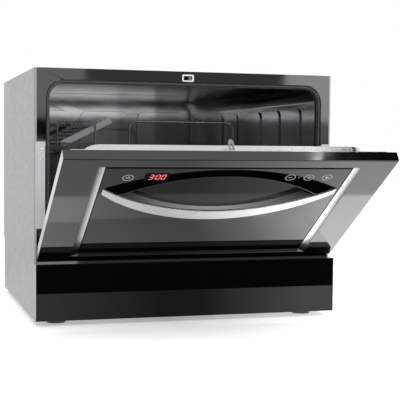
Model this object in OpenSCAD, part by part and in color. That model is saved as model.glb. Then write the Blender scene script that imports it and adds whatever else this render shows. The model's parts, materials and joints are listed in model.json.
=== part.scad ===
// Countertop dishwasher with a drop-down door, a sliding wire rack and a full set of working internals.
// Millimetres. X runs to the right, Y to the back, Z up. The origin is the centre of the standing plane.

/* [Cabinet] */
// Overall width
cab_w = 550; // [544:1:560]
// Overall depth with the door closed
cab_d = 500; // [496:1:510]
// Overall height on its feet
cab_h = 445; // [442:1:450]
// Height of the feet under the base
foot_h = 9; // [7:1:12]
// Height of the top edge of the kick panel
kick_top = 108; // [104:1:110]
// Distance of the front frame behind the kick panel and door face
front_setback = 22; // [21:0.5:24]
// Sheet thickness of the painted panels
sheet_t = 1; // [0.8:0.1:1.2]
// Rounded front fold of the side panels
fold_r = 4; // [3:0.5:5]
// Height of the hose recess across the lower back
recess_top = 116; // [112:1:120]
// Depth of the hose recess across the lower back
recess_d = 14; // [12:1:16]

/* [Front frame and tub] */
// Thickness of the front frame
frame_t = 14; // [12:1:16]
// Width of the frame beside the tub opening
side_rail = 20; // [18:1:23]
// Bottom of the tub opening
opening_z0 = 150; // [149:0.5:151]
// Height of the frame above the tub opening
top_rail = 19; // [18:0.5:21]
// Corner radius of the tub opening
opening_r = 32; // [26:1:36]
// Step from the opening's side to the inside of the tub
tub_step = 3; // [2:0.5:5]
// Tub floor height
tub_floor = 148; // [147:0.5:149]
// Step from the top of the opening to the tub ceiling
ceiling_step = 2; // [1.5:0.5:4]
// Distance of the tub's back wall in front of the cabinet's back
tub_back_gap = 34; // [30:1:38]
// Tub sheet thickness
tub_t = 1.2; // [1:0.1:1.5]
// Height of the wheel ledges along the tub sides
ledge_z = 160; // [158:0.5:161]
// Width of the wheel ledges
ledge_w = 26; // [24:1:28]

/* [Door] */
// Gap between the door's side and the cabinet's side
door_side_gap = 3.5; // [2.5:0.5:5]
// Bottom edge of the closed door at its ends
door_z0 = 119; // [118:0.5:121]
// Gap between the closed door's top edge and the cabinet's top
door_top_gap = 2; // [1:0.5:4]
// Depth of the outer door shell
shell_d = 16; // [15:0.5:17]
// Downward bow of the bottom edge at mid width
door_bow = 3.5; // [2:0.5:4]
// Angle by which the door stands open
door_open = 57; // [0:1:90]
// Height of the hinge axis
hinge_z = 127; // [126:0.5:128]
// Distance of the hinge axis behind the closed door face
hinge_in = 9; // [8.8:0.1:9.4]
// Radius of the hinge pins
hinge_pin_r = 3; // [2.5:0.1:3.2]
// Radius of the hinge knuckles
knuckle_r = 5.4; // [5:0.1:5.6]
// Width of the door face beside the recessed glass panel
glass_side = 68.5; // [66:0.5:72]
// Bottom edge of the glass panel
glass_z0 = 136; // [134:1:138]
// Height of the door face above the glass panel
glass_head = 28; // [26:1:31]
// Depth of the glass panel behind the door face
glass_in = 3; // [2:0.5:4]
// Width of the sloped bevel around the glass panel
bevel_w = 13; // [10:1:14]

/* [Handle] */
// Distance of the pull recess below the top of the glass
pull_drop = 27; // [25:1:30]
// Radius of the upper arc of the pull recess
pull_arc_top = 277.7; // [270:0.1:290]
// Height of the pull recess
pull_h = 107; // [104:1:109]
// Radius of the lower arc of the pull recess
pull_arc_bottom = 306; // [300:1:312]
// Depth of the pull recess at its top
pull_depth = 21; // [16:1:22]
// Depth of the pull recess at its bottom
pull_depth_low = 6; // [4:1:8]
// Height of the smile trim at its middle
smile_h = 26; // [23:1:29]
// Radius of the lower edge of the smile trim
smile_arc = 275; // [272:1:280]
// Distance of the smile trim's tips from the sides of the glass
smile_margin = 6; // [3:1:13]

/* [Door liner and dispenser] */
// Gap between the tub opening and the raised dish of the liner
dish_gap = 23; // [22:1:25]
// Bottom of the liner dish
dish_z0 = 162; // [160:1:164]
// Distance of the liner dish below the top of the door
dish_head = 26; // [25:1:29]
// Height of the dish face in front of the hinge axis
dish_out = 34; // [32:0.5:35]
// Width of the detergent dispenser
disp_w = 150; // [140:1:156]
// Height of the detergent dispenser
disp_h = 84; // [80:1:86]

/* [Rack] */
// Gap between the tub wall and the rack's rings
rack_gap = 24; // [22:1:28]
// Distance of the rack behind the front frame
rack_front = 42; // [40:1:44]
// Distance of the rack in front of the tub's back wall
rack_rear = 26; // [22:1:32]
// Height of the bottom ring
rack_z0 = 190; // [189:1:192]
// Height of the top ring
rack_z1 = 298; // [290:1:304]
// Top of the handle hoop
hoop_z = 356; // [350:1:358]
// Half width of the handle hoop
hoop_half = 98; // [90:1:104]
// Ring wire radius
ring_r = 2.2; // [2:0.1:2.5]
// Wall and floor wire radius
wire_r = 1.5; // [1.3:0.1:1.7]
// Wheel radius
wheel_r = 13; // [12:0.5:13.5]

/* [Wash system] */
// Spray arm radius
arm_r = 188; // [170:1:192]
// Height of the underside of the spray arm
arm_z = 162; // [161:0.5:163]
// Radius of the filter plate
filter_r = 60; // [54:1:62]
// Radius of the filter cylinder
filter_cyl_r = 27; // [24:1:29]
// Radius of the salt cap
salt_r = 26; // [24:1:28]

/* [Connections] */
// Radius over the thread of the water inlet stub
inlet_r = 13.2; // [13:0.05:13.3]
// Radius of the drain spigot
drain_r = 9.5; // [9:0.1:10.5]
// Radius of the cord bore in the gland
cord_bore_r = 3.6; // [3.2:0.1:4]

/* [Clearances] */
// Gap left between parts that seat on each other
seat = 0.2; // [0.1:0.05:0.3]
// Radial running clearance of pins and axles
run = 0.05; // [0.03:0.01:0.09]

/* [Hidden] */
$fn = 64;
half_w = cab_w / 2;
front_y = -cab_d / 2;
back_y = cab_d / 2;
frame_y = front_y + front_setback;
frame_back = frame_y + frame_t;
frame_half = half_w - fold_r - 0.2;
frame_z0 = kick_top - 6;
panel_in = half_w - sheet_t;
opening_w = cab_w - 2 * side_rail;
opening_z1 = cab_h - top_rail;
tub_w = opening_w - 2 * tub_step;
tub_top = opening_z1 - ceiling_step;
tub_back = back_y - tub_back_gap;
door_w = cab_w - 2 * door_side_gap;
door_z1 = cab_h - door_top_gap;
glass_w = door_w - 2 * glass_side;
glass_z1 = door_z1 - glass_head;
pull_top = glass_z1 - pull_drop;
pull_bottom = pull_top - pull_h;
smile_bottom = pull_bottom - smile_h;
smile_half = glass_w / 2 - smile_margin;
dish_w = opening_w - 2 * dish_gap;
dish_z1 = door_z1 - dish_head;
rack_w = tub_w - 2 * rack_gap;
rack_y0 = frame_y + rack_front;
rack_y1 = tub_back - rack_rear;
pad_z0 = ledge_z + 54;
pad_z1 = tub_top - 37;
pad_r = 16;
pad_gap = 18;
rear_out = back_y - 1.2;
rear_in = rear_out - sheet_t;
recess_y = back_y - recess_d;
hinge_y = front_y + hinge_in;
glass_y = front_y + glass_in;
glass_t = 3;
glass_half = glass_w / 2;
shell_back = front_y + shell_d;
shell_wall = 3;
shell_front = 8.5;
ledge_lip = 8;
dish_y = hinge_y + dish_out;
liner_flange_y = shell_back + 5;
liner_half = door_w / 2 - 7.5;
door_half = door_w / 2;
knuckle_x0 = half_w - 19;
knuckle_x1 = half_w - 8;
arm_x0 = knuckle_x0 - 5;
arm_x1 = arm_x0 + 2.6;
inlet_x = 85 - half_w;
gland_x = half_w - 47;
conn_z = 62;
filter_x = 62;
filter_y = -82;
salt_x = -122;
salt_y = -78;
hub_y = 4;
pump_x = 94;
drain_x = filter_x + 82;
pump_y = 90;
pump_z = 72;
latch_x = -1.7;
latch_z = cab_h - 11.6;
wheel_x0 = rack_w / 2 + 4.6;
wheel_w = 8;
wheel_z = ledge_z + seat + wheel_r;
wheel_yf = rack_y0 + 62;
wheel_yr = rack_y1 - 62;
inset = ring_r + wire_r - 0.5;
loop_y0 = rack_y0 + 26;
loop_y1 = rack_y1 - 40;
loop_x = 72 - rack_w / 2;
shelf_x = 16 - rack_w / 2;
shelf_z = 316;
shelf_len = 96;
shelf_tilt = 26;
pivot_r = 2;

// ---------- shared shapes ----------

module slab_y(y0, y1) {
    translate([0, y1, 0])
        rotate([90, 0, 0])
            linear_extrude(height = y1 - y0)
                children();
}

module slab_x(x0, x1) {
    translate([x0, 0, 0])
        rotate([90, 0, 90])
            linear_extrude(height = x1 - x0)
                children();
}

module slab_z(z0, z1) {
    translate([0, 0, z0])
        linear_extrude(height = z1 - z0)
            children();
}

module span(x0, x1, y0, y1) {
    translate([x0, y0])
        square([x1 - x0, y1 - y0]);
}

module block(x0, x1, y0, y1, z0, z1) {
    translate([x0, y0, z0])
        cube([x1 - x0, y1 - y0, z1 - z0]);
}

module round_span(x0, x1, y0, y1, r) {
    span(x0 + r, x1 - r, y0, y1);
    span(x0, x1, y0 + r, y1 - r);
    for (x = [x0 + r, x1 - r])
        for (y = [y0 + r, y1 - r])
            translate([x, y])
                circle(r = r);
}

module rod_x(x0, x1, y, z, r) {
    translate([x0, y, z])
        rotate([0, 90, 0])
            cylinder(r = r, h = x1 - x0);
}

module rod_y(x, y0, y1, z, r) {
    translate([x, y1, z])
        rotate([90, 0, 0])
            cylinder(r = r, h = y1 - y0);
}

module rod_z(x, y, z0, z1, r) {
    translate([x, y, z0])
        cylinder(r = r, h = z1 - z0);
}

module both_sides() {
    children();
    mirror([1, 0, 0])
        children();
}

// A quarter bend of wire in the XY plane, from the +X direction round to the +Y direction.
module bend(big_r, r) {
    rotate_extrude(angle = 90)
        translate([big_r, 0])
            circle(r = r);
}

// Turns what is drawn for the closed door to the angle at which the door stands.
module on_door() {
    translate([0, hinge_y, hinge_z])
        rotate([door_open, 0, 0])
            translate([0, -hinge_y, -hinge_z])
                children();
}
// ---------- cabinet ----------

base_wall = 2.5;
base_floor = 3;
base_top = 44;
rib_top = foot_h + base_floor + 9;
tank_z = 34;
base_half = panel_in - 0.3;
base_y0 = frame_y + 1.6;
base_y1 = recess_y - 0.3;
foot_x = half_w - 43;
foot_y = back_y - 54;
boss_top = foot_h + base_floor + 14;
tank_x0 = 39 - half_w;
tank_x1 = -62;
module_x1 = half_w - 13;
module_x0 = module_x1 - 112;
module_y0 = frame_back;
module_y1 = module_y0 + 86;
foot_r = 17;

module base_tray() {
    color("#202124") {
        difference() {
            block(-base_half, base_half, base_y0, base_y1, foot_h, base_top);
            block(-base_half + base_wall, base_half - base_wall, base_y0 + base_wall, base_y1 - base_wall,
                foot_h + base_floor, base_top + 1);
            for (x = [-foot_x, foot_x])
                for (y = [-foot_y, foot_y])
                    rod_z(x, y, foot_h - 1, foot_h + base_floor + 1, 4.2);
            for (i = [-4 : 4])
                slab_z(foot_h - 1, foot_h + base_floor + 1)
                    round_span(i * 42 - 12, i * 42 + 12, 176, 182, 2.9);
        }
        for (x = [-150, -50, 210])
            block(x - 1.25, x + 1.25, base_y0 + base_wall, base_y1 - base_wall,
                foot_h + base_floor, rib_top);
        for (y = [-170, -30, 155])
            block(-base_half + base_wall, base_half - base_wall, y - 1.25, y + 1.25,
                foot_h + base_floor, rib_top);
        for (q = [[pump_x - 32, pump_y, 17, 31], [pump_x + 25, pump_y, 26, 23],
                [filter_x + 102, filter_y, 31, 15], [heater_x, 90, 9, 21]])
            block(q[0] - q[2], q[0] + q[2], q[1] - q[3], q[1] + q[3], foot_h + base_floor, rib_top);
        for (x = [tank_x0 + 12, tank_x1 - 12])
            for (y = [-138, -2])
                rod_z(x, y, foot_h + base_floor, tank_z - seat, 7);
        for (x = [module_x0 + 12, module_x1 - 14])
            rod_z(x, module_y1 - 10, foot_h + base_floor, boss_top, 6);
        for (x = [-foot_x, foot_x])
            for (y = [-foot_y, foot_y])
                difference() {
                    rod_z(x, y, foot_h + base_floor, boss_top, 9);
                    rod_z(x, y, foot_h, foot_h + base_floor + 15, 4.2);
                }
    }
}

module feet() {
    color("#17181a")
        for (x = [-foot_x, foot_x])
            for (y = [-foot_y, foot_y]) {
                rod_z(x, y, 0, foot_h, foot_r);
                rod_z(x, y, foot_h, foot_h + base_floor + 12, 4.1);
            }
}

side_z0 = foot_h;
top_flange = 14;
side_z1 = cab_h - 1.4;
rear_screw_x = half_w - 13;
rear_screw_z = [recess_top + 34, (recess_top + cab_h) / 2 + 9, cab_h - 25];

// The right-hand panel: flat sheet with a rounded front fold beside the frame and a notched lower back.
module side_sheet() {
    slab_x(panel_in, half_w)
        polygon([
            [frame_y + fold_r, side_z1], [frame_y + fold_r, kick_top], [front_y + 3.2, kick_top],
            [front_y + 3.2, side_z0], [recess_y - 0.2, side_z0], [recess_y - 0.2, recess_top + 0.2],
            [rear_in - 0.2, recess_top + 0.2], [rear_in - 0.2, side_z1]
        ]);
    translate([half_w - fold_r, frame_y + fold_r, kick_top])
        rotate([0, 0, 270])
            rotate_extrude(angle = 90)
                translate([fold_r - sheet_t, 0])
                    square([sheet_t, side_z1 - kick_top]);
    for (y = [-160, 160])
        block(panel_in - 10, panel_in, y, y + sheet_t, base_top + 6, cab_h - top_flange - 3);
    difference() {
        block(panel_in - 18, panel_in, rear_in - 0.2 - sheet_t, rear_in - 0.2, recess_top + 6, side_z1 - 6);
        for (z = rear_screw_z)
            rod_y(rear_screw_x, rear_in - 5, rear_in + 1, z, 1.9);
    }
}

module right_side_panel() {
    color("#b4b7b9")
        side_sheet();
}

module left_side_panel() {
    color("#b4b7b9")
        mirror([1, 0, 0])
            side_sheet();
}

module top_panel() {
    color("#b4b7b9") {
        block(-half_w, half_w, frame_y + 2.2, rear_in - 0.2, cab_h - 1.2, cab_h);
        both_sides()
            block(panel_in - 1.4, panel_in - 0.4, frame_back + 1, rear_in - 4, cab_h - top_flange, cab_h - 1.2);
        for (y = [-120, 0, 120])
            block(34 - panel_in, panel_in - 34, y - 6, y + 6, cab_h - 3, cab_h - 1.2);
    }
}

module rear_panel() {
    color("#9da0a2")
        difference() {
            slab_x(-half_w, half_w)
                polygon([
                    [rear_in, cab_h], [rear_out, cab_h], [rear_out, recess_top - sheet_t],
                    [recess_y + sheet_t, recess_top - sheet_t], [recess_y + sheet_t, foot_h + 1],
                    [recess_y, foot_h + 1], [recess_y, recess_top], [rear_in, recess_top]
                ]);
            rod_y(inlet_x, recess_y - 1, recess_y + 2, conn_z, inlet_r + 1.4);
            rod_y(drain_x, recess_y - 1, recess_y + 2, conn_z, drain_r + 3);
            rod_y(gland_x, recess_y - 1, recess_y + 2, conn_z, 8.2);
            for (i = [0 : 6])
                slab_y(recess_y - 1, recess_y + 2)
                    round_span(-60, 60, 36 + i * 9, 40 + i * 9, 1.9);
            both_sides()
                for (z = rear_screw_z)
                    rod_y(rear_screw_x, rear_in - 1, rear_out + 1, z, 2);
        }
}

module rear_screws() {
    color("#8b8e91")
        both_sides()
            for (z = rear_screw_z)
                difference() {
                    union() {
                        rod_y(rear_screw_x, rear_out, back_y, z, 3.6);
                        rod_y(rear_screw_x, rear_out - 11, rear_out, z, 1.8);
                    }
                    block(rear_screw_x - 2.4, rear_screw_x + 2.4, back_y - 0.7, back_y + 1, z - 0.5, z + 0.5);
                }
}

flange_screw_z = [288, 303];
flange_screw_x = half_w - 12.5;
screw_sink = 1.2;
screw_proud = 0.5;

module front_frame() {
    color("#0c0d0f")
        difference() {
            union() {
                slab_y(frame_y, frame_y + fold_r + 0.2)
                    span(-frame_half, frame_half, frame_z0, cab_h - 1.5);
                slab_y(frame_y, frame_y + 2)
                    span(-frame_half, frame_half, cab_h - 3, cab_h);
                slab_y(frame_y + fold_r + 0.2, frame_back)
                    span(-panel_in + 1.7, panel_in - 1.7, frame_z0, cab_h - 1.5);
            }
            slab_y(frame_y - 1, frame_back + 1)
                round_span(-opening_w / 2, opening_w / 2, opening_z0, opening_z1, opening_r);
            slab_y(frame_y - 1, frame_back + 1)
                round_span(latch_x - 9.6, latch_x + 9.6, latch_z - 5.2, latch_z + 5.2, 2.4);
            both_sides()
                block(knuckle_x0 - 0.6, knuckle_x1 + 0.6, frame_y - 1, frame_back + 1,
                    hinge_z - knuckle_r - 1, hinge_z + knuckle_r + 1);
            both_sides()
                for (z = flange_screw_z)
                    rod_y(flange_screw_x, frame_y - 1, frame_back + 1, z, 1.9);
            both_sides()
                for (z = flange_screw_z)
                    rod_y(flange_screw_x, frame_y - 1, frame_y + screw_sink, z, 3.6);
            both_sides()
                block(opening_w / 2 + 4, panel_in - 5.5, frame_y + 4, frame_back + 1, ledge_z, 280);
        }
}

module frame_screws() {
    color("#d4d6d8")
        both_sides()
            for (z = flange_screw_z)
                difference() {
                    union() {
                        rod_y(flange_screw_x, frame_y - screw_proud, frame_y + screw_sink, z, 3.4);
                        rod_y(flange_screw_x, frame_y + screw_sink, frame_back + 5, z, 1.8);
                    }
                    block(flange_screw_x - 2.2, flange_screw_x + 2.2, frame_y - 2, frame_y + 0.3, z - 0.5, z + 0.5);
                    block(flange_screw_x - 0.5, flange_screw_x + 0.5, frame_y - 2, frame_y + 0.3, z - 2.2, z + 2.2);
                }
}

kick_wall = 3;

module kick_panel() {
    color("#0a0b0c")
        difference() {
            union() {
                block(-half_w, half_w, front_y, front_y + kick_wall, foot_h + 1, kick_top);
                block(-panel_in + seat, panel_in - seat, front_y + kick_wall, frame_y - seat,
                    foot_h + 1, kick_top);
            }
            block(-panel_in + 2.7, panel_in - 2.7, front_y + kick_wall, frame_y + 2,
                foot_h + 4, kick_top - kick_wall);
            for (i = [-5 : 5])
                block(i * 44 - 15, i * 44 + 15, front_y + 8, frame_y - 3, foot_h, foot_h + 5);
        }
    color("#0a0b0c")
        for (x = [-180, -60, 60, 180])
            block(x - 1.2, x + 1.2, front_y + kick_wall, frame_y - 4, foot_h + 4, kick_top - kick_wall);
}

// ---------- tub ----------

tub_y0 = frame_back + 0.2;
tub_half = tub_w / 2;
emboss = 3;

module tub_outline(g) {
    round_span(-tub_half - g, tub_half + g, ledge_z + 60, tub_top + g, opening_r - 3 + g);
    span(-tub_half - g, tub_half + g, ledge_z - g, ledge_z + 120);
    span(-tub_half + ledge_w - g, tub_half - ledge_w + g, tub_floor - g, ledge_z + 1);
}

// The pressed pads of the back wall, shrunk by g.
module back_pads(g) {
    pitch = tub_w / 4;
    for (i = [-1.5 : 1.5])
        round_span(i * pitch - (pitch - pad_gap) / 2 + g, i * pitch + (pitch - pad_gap) / 2 - g,
            pad_z0 + g, pad_z1 - g, pad_r - g);
}

// The pressed pads of the side walls, shrunk by g.
module side_pads(g) {
    pitch = (tub_back - rack_y0 - 66) / 3;
    for (i = [0 : 2])
        round_span(tub_back - 30 - (i + 1) * pitch + 14 + g, tub_back - 30 - i * pitch - g,
            pad_z0 + g, pad_z1 - g, pad_r - g);
}

module tub() {
    color("#c3c6c8")
        difference() {
            union() {
                difference() {
                    slab_y(tub_y0, tub_back + tub_t)
                        tub_outline(tub_t);
                    slab_y(tub_y0 - 1, tub_back)
                        tub_outline(0);
                }
                difference() {
                    slab_y(tub_y0, tub_y0 + tub_t)
                        round_span(-tub_half - 15, tub_half + 15, tub_floor - 7, tub_top + 13, opening_r + 8);
                    slab_y(tub_y0 - 1, tub_y0 + tub_t + 1)
                        tub_outline(0);
                }
                slab_y(tub_back - emboss, tub_back + 0.5)
                    back_pads(0);
                both_sides()
                    slab_x(tub_half - emboss, tub_half + 0.5)
                        side_pads(0);
            }
            slab_y(tub_back - emboss + tub_t, tub_back + tub_t + 1)
                back_pads(tub_t);
            both_sides()
                slab_x(tub_half - emboss + tub_t, tub_half + tub_t + 1)
                    side_pads(tub_t);
            rod_z(filter_x, filter_y, tub_floor - 3, tub_floor + 1, filter_r - 3);
            rod_z(salt_x, salt_y, tub_floor - 3, tub_floor + 1, salt_r - 2);
            rod_z(0, hub_y, tub_floor - 3, tub_floor + 1, 14);
            block(-28, 28, tub_y0 - 1, tub_y0 + tub_t + 0.1, tub_top + tub_t + 0.6, tub_top + 20);
            both_sides()
                block(flange_screw_x - 4, flange_screw_x + 8, tub_y0 - 1, tub_y0 + tub_t + 0.1,
                    flange_screw_z[0] - 8, flange_screw_z[1] + 9);
        }
}

module tub_gasket() {
    color("#101112") {
        difference() {
            slab_y(frame_y + 5, frame_back)
                round_span(-opening_w / 2 + 0.2, opening_w / 2 - 0.2, opening_z0 + 0.2, opening_z1 - 0.2,
                    opening_r - 0.2);
            slab_y(frame_y + 4, frame_back + 1)
                round_span(-opening_w / 2 + 7, opening_w / 2 - 7, opening_z0 + 7, opening_z1 - 7, opening_r - 7);
        }
        difference() {
            slab_y(frame_y + 0.6, frame_y + 6)
                round_span(-opening_w / 2 + 2, opening_w / 2 - 2, opening_z0 + 2, opening_z1 - 2, opening_r - 2);
            slab_y(frame_y, frame_y + 7)
                round_span(-opening_w / 2 + 5, opening_w / 2 - 5, opening_z0 + 5, opening_z1 - 5, opening_r - 5);
        }
    }
}

blanket_t = 5;

module tub_blanket() {
    color("#6f6a63")
        intersection() {
            difference() {
                slab_y(frame_back + 30, tub_back - 6)
                    tub_outline(tub_t + seat + blanket_t);
                slab_y(frame_back + 29, tub_back - 5)
                    tub_outline(tub_t + seat);
            }
            block(-half_w, half_w, front_y, back_y, ledge_z + 40, cab_h);
        }
}

module latch_bezel() {
    color("#d9dadb")
        difference() {
            union() {
                slab_y(frame_y - 0.5, frame_y)
                    round_span(latch_x - 10.8, latch_x + 10.8, latch_z - 6.4, latch_z + 6.4, 3);
                slab_y(frame_y, frame_back)
                    round_span(latch_x - 9.5, latch_x + 9.5, latch_z - 5.1, latch_z + 5.1, 2.3);
            }
            block(latch_x - 8, latch_x + 8, frame_y - 2, frame_back + 1, latch_z - 3.9, latch_z + 3.8);
        }
}

module latch_box() {
    color("#2b2d30")
        difference() {
            block(latch_x - 23, latch_x + 23, frame_back, frame_back + 26, tub_top + 3, cab_h - 4.6);
            block(latch_x - 21, latch_x + 21, frame_back - 1, frame_back + 24, tub_top + 5, cab_h - 6.6);
        }
}

module latch_catch() {
    color("#85888b")
        translate([latch_x, frame_y, latch_z - 3.4])
            linear_extrude(height = 6.8)
                polygon([[2.9, 5.5], [5.9, 0.9], [6, 12], [2.9, 12]]);
}

bracket_t = 2.2;

module hinge_brackets() {
    color("#8f9295")
        both_sides()
            difference() {
                union() {
                    block(knuckle_x0 - 10, panel_in - 2, frame_back, frame_back + bracket_t,
                        frame_z0 + 2, tub_floor - 8.5);
                    block(knuckle_x0, knuckle_x1, hinge_y, frame_back + 1, hinge_z - 4, hinge_z + 4);
                    rod_x(knuckle_x0, knuckle_x1, hinge_y, hinge_z, knuckle_r);
                }
                rod_x(knuckle_x0 - 1, knuckle_x1 + 1, hinge_y, hinge_z, hinge_pin_r + run);
            }
}

module hinge_pins() {
    color("#b9bcbe")
        both_sides()
            rod_x(arm_x0 - 0.8, knuckle_x1 + 0.8, hinge_y, hinge_z, hinge_pin_r);
}

// ---------- door, drawn closed ----------

module door_outline(g) {
    span(-door_half + g, door_half - g, door_z0 + g, door_z1 - g);
    intersection() {
        translate([0, door_z0 - door_bow + bow_r])
            circle(r = bow_r - g, $fn = 360);
        span(-door_half + g, door_half - g, door_z0 - 10, door_z0 + 20);
    }
}

bow_relief = 1.6;
relief_over = 0.5;
bow_r = (door_half * door_half + door_bow * door_bow) / (2 * door_bow);

// Frustum of the bevel: a window that narrows from the door face to the glass.
module glass_bevel() {
    intersection() {
        translate([0, 0, glass_z0 - 40])
            linear_extrude(height = glass_z1 - glass_z0 + 80)
                polygon([
                    [-glass_half - bevel_w * 1.5, front_y - glass_in / 2], [-glass_half, glass_y],
                    [glass_half, glass_y], [glass_half + bevel_w * 1.5, front_y - glass_in / 2]
                ]);
        slab_x(-door_half, door_half)
            polygon([
                [front_y - glass_in / 2, glass_z0 - 9], [glass_y, glass_z0],
                [glass_y, glass_z1], [front_y - glass_in / 2, glass_z1 + 9]
            ]);
    }
}

module door_shell() {
    color("#0b0c0e")
        on_door()
            difference() {
                slab_y(front_y, shell_back)
                    door_outline(0);
                slab_y(front_y + shell_front, shell_back + 1)
                    door_outline(shell_wall);
                block(-door_half - 1, door_half + 1, shell_back - bow_relief, shell_back + 1,
                    door_z0 - door_bow - 1, door_z0 + relief_over);
                glass_bevel();
                block(-glass_half - 0.3, glass_half + 0.3, glass_y - 0.01, glass_y + glass_t + 0.2,
                    glass_z0 - 0.3, glass_z1 + 0.3);
                block(-glass_half + ledge_lip, glass_half - ledge_lip, front_y + 5, shell_back,
                    glass_z0 + ledge_lip, glass_z1 - ledge_lip);
                both_sides()
                    block(arm_x0 - 1.4, knuckle_x1 + 1.2, hinge_y - knuckle_r - 1, shell_back + 1,
                        door_z0 - 10, hinge_z + knuckle_r + 1.2);
            }
}

// Lens of the pull recess, grown by g.
module pull_shape(g) {
    intersection() {
        translate([0, pull_top - pull_arc_top])
            circle(r = pull_arc_top + g, $fn = 128);
        translate([0, pull_bottom + pull_arc_bottom])
            circle(r = pull_arc_bottom + g, $fn = 128);
    }
}

// Crescent of the smile trim, grown by g.
module smile_shape(g) {
    difference() {
        intersection() {
            translate([0, smile_bottom + smile_arc])
                circle(r = smile_arc + g, $fn = 128);
            span(-smile_half - g, smile_half + g, smile_bottom - 10, smile_bottom + 110);
        }
        translate([0, pull_bottom + pull_arc_bottom])
            circle(r = pull_arc_bottom + seat - g, $fn = 128);
    }
}

module door_glass() {
    color("#101215")
        on_door()
            difference() {
                block(-glass_half, glass_half, glass_y, glass_y + glass_t, glass_z0, glass_z1);
                slab_y(glass_y - 1, glass_y + glass_t + 1)
                    pull_shape(seat);
                slab_y(glass_y - 1, glass_y + glass_t + 1)
                    smile_shape(seat);
            }
}

cup_wall = 1.8;

// The pull recess: a lens-shaped cup whose floor slopes so that its top edge overhangs the fingers.
module handle_cup() {
    color("#26282b")
        on_door()
            difference() {
                intersection() {
                    slab_y(glass_y, glass_y + pull_depth + cup_wall + 2)
                        pull_shape(0);
                    slab_x(-door_half, door_half)
                        polygon([
                            [glass_y, pull_bottom - 4], [glass_y + pull_depth_low + cup_wall, pull_bottom - 4],
                            [glass_y + pull_depth + cup_wall, pull_top - 24],
                            [glass_y + pull_depth + cup_wall, pull_top + 4], [glass_y, pull_top + 4]
                        ]);
                }
                intersection() {
                    slab_y(glass_y - 1, glass_y + pull_depth + 2)
                        pull_shape(-cup_wall);
                    slab_x(-door_half, door_half)
                        polygon([
                            [glass_y - 1, pull_bottom - 4], [glass_y + pull_depth_low, pull_bottom - 4],
                            [glass_y + pull_depth, pull_top - 24],
                            [glass_y + pull_depth, pull_top + 4], [glass_y - 1, pull_top + 4]
                        ]);
                }
            }
}

module handle_trim() {
    color("#c9cbcd")
        on_door()
            slab_y(front_y + 0.6, glass_y + glass_t)
                smile_shape(0);
}

board_y = glass_y + glass_t + 1.4;
board_half = glass_half - 13;
icon_z = glass_z1 - 29;
icon_x = [27 - board_half, board_half - 86, board_half - 54, board_half - 22];

module display_board() {
    color("#1f5a34")
        on_door() {
            difference() {
                union() {
                    block(-board_half, board_half, board_y, board_y + 1.6, glass_z1 - 19, glass_z1 - 9);
                    block(8 - board_half, 104 - board_half, board_y, board_y + 1.6, glass_z1 - 41, glass_z1 - 15);
                    block(board_half - 100, board_half - 8, board_y, board_y + 1.6, glass_z1 - 39, glass_z1 - 15);
                }
                for (x = [10 - board_half, 0, board_half - 10])
                    rod_y(x, board_y - 1, board_y + 3, glass_z1 - 13, 1.6);
            }
            block(53 - board_half, 94 - board_half, glass_y + glass_t + seat, board_y, glass_z1 - 40.5, glass_z1 - 15);
            for (x = icon_x)
                rod_y(x, glass_y + glass_t + seat, board_y, icon_z, 7);
        }
}

module door_hinge_arms() {
    color("#8f9295")
        on_door()
            both_sides()
                difference() {
                    union() {
                        rod_x(arm_x0, arm_x1, hinge_y, hinge_z, knuckle_r);
                        block(arm_x0, arm_x1, hinge_y - 0.3, shell_back - 1.5, hinge_z, 206);
                        block(arm_x0 - 18, arm_x1, front_y + shell_front, front_y + shell_front + 2, 146, 206);
                    }
                    rod_x(arm_x0 - 1, arm_x1 + 1, hinge_y, hinge_z, hinge_pin_r + run);
                    for (z = [158, 192])
                        rod_y(arm_x0 - 9, front_y, shell_back, z, 2.2);
                }
}

liner_t = 1;
liner_z0 = door_z0 + 17;
liner_z1 = door_z1 - 6;
disp_x0 = -108;
disp_x1 = disp_x0 + disp_w;
disp_z0 = 176;
disp_z1 = disp_z0 + disp_h;
disp_proud = 4;
disp_face = dish_y + disp_proud;
tongue_x0 = latch_x - 6.9;
tongue_x1 = latch_x + 2.3;
tongue_z0 = latch_z - 3.2;
tongue_t = 3;

module door_liner() {
    color("#c3c6c8")
        on_door()
            difference() {
                union() {
                    slab_y(shell_back - 5.5, liner_flange_y)
                        round_span(-liner_half, liner_half, liner_z0, liner_z1, 10);
                    slab_y(liner_flange_y - 1, dish_y)
                        round_span(-dish_w / 2, dish_w / 2, dish_z0, dish_z1, 24);
                }
                slab_y(shell_back - 6, liner_flange_y - liner_t)
                    round_span(-liner_half + liner_t, liner_half - liner_t, liner_z0 + liner_t,
                        liner_z1 - liner_t, 9);
                slab_y(liner_flange_y - 2, dish_y - liner_t)
                    round_span(-dish_w / 2 + liner_t, dish_w / 2 - liner_t, dish_z0 + liner_t,
                        dish_z1 - liner_t, 23);
                slab_y(dish_y - 3, dish_y + 1)
                    round_span(disp_x0 + 4, disp_x1 - 4, disp_z0 + 4, disp_z1 - 4, 6);
                block(tongue_x0 - 1, tongue_x1 + 1, liner_flange_y - 2, liner_flange_y + 1,
                    tongue_z0 - 1, tongue_z0 + tongue_t + 1);
                both_sides()
                    block(arm_x0 - 0.8, arm_x1 + 0.8, shell_back - 6, shell_back - 1,
                        liner_z0 - 1, liner_z0 + liner_t + 1);
            }
}

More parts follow.
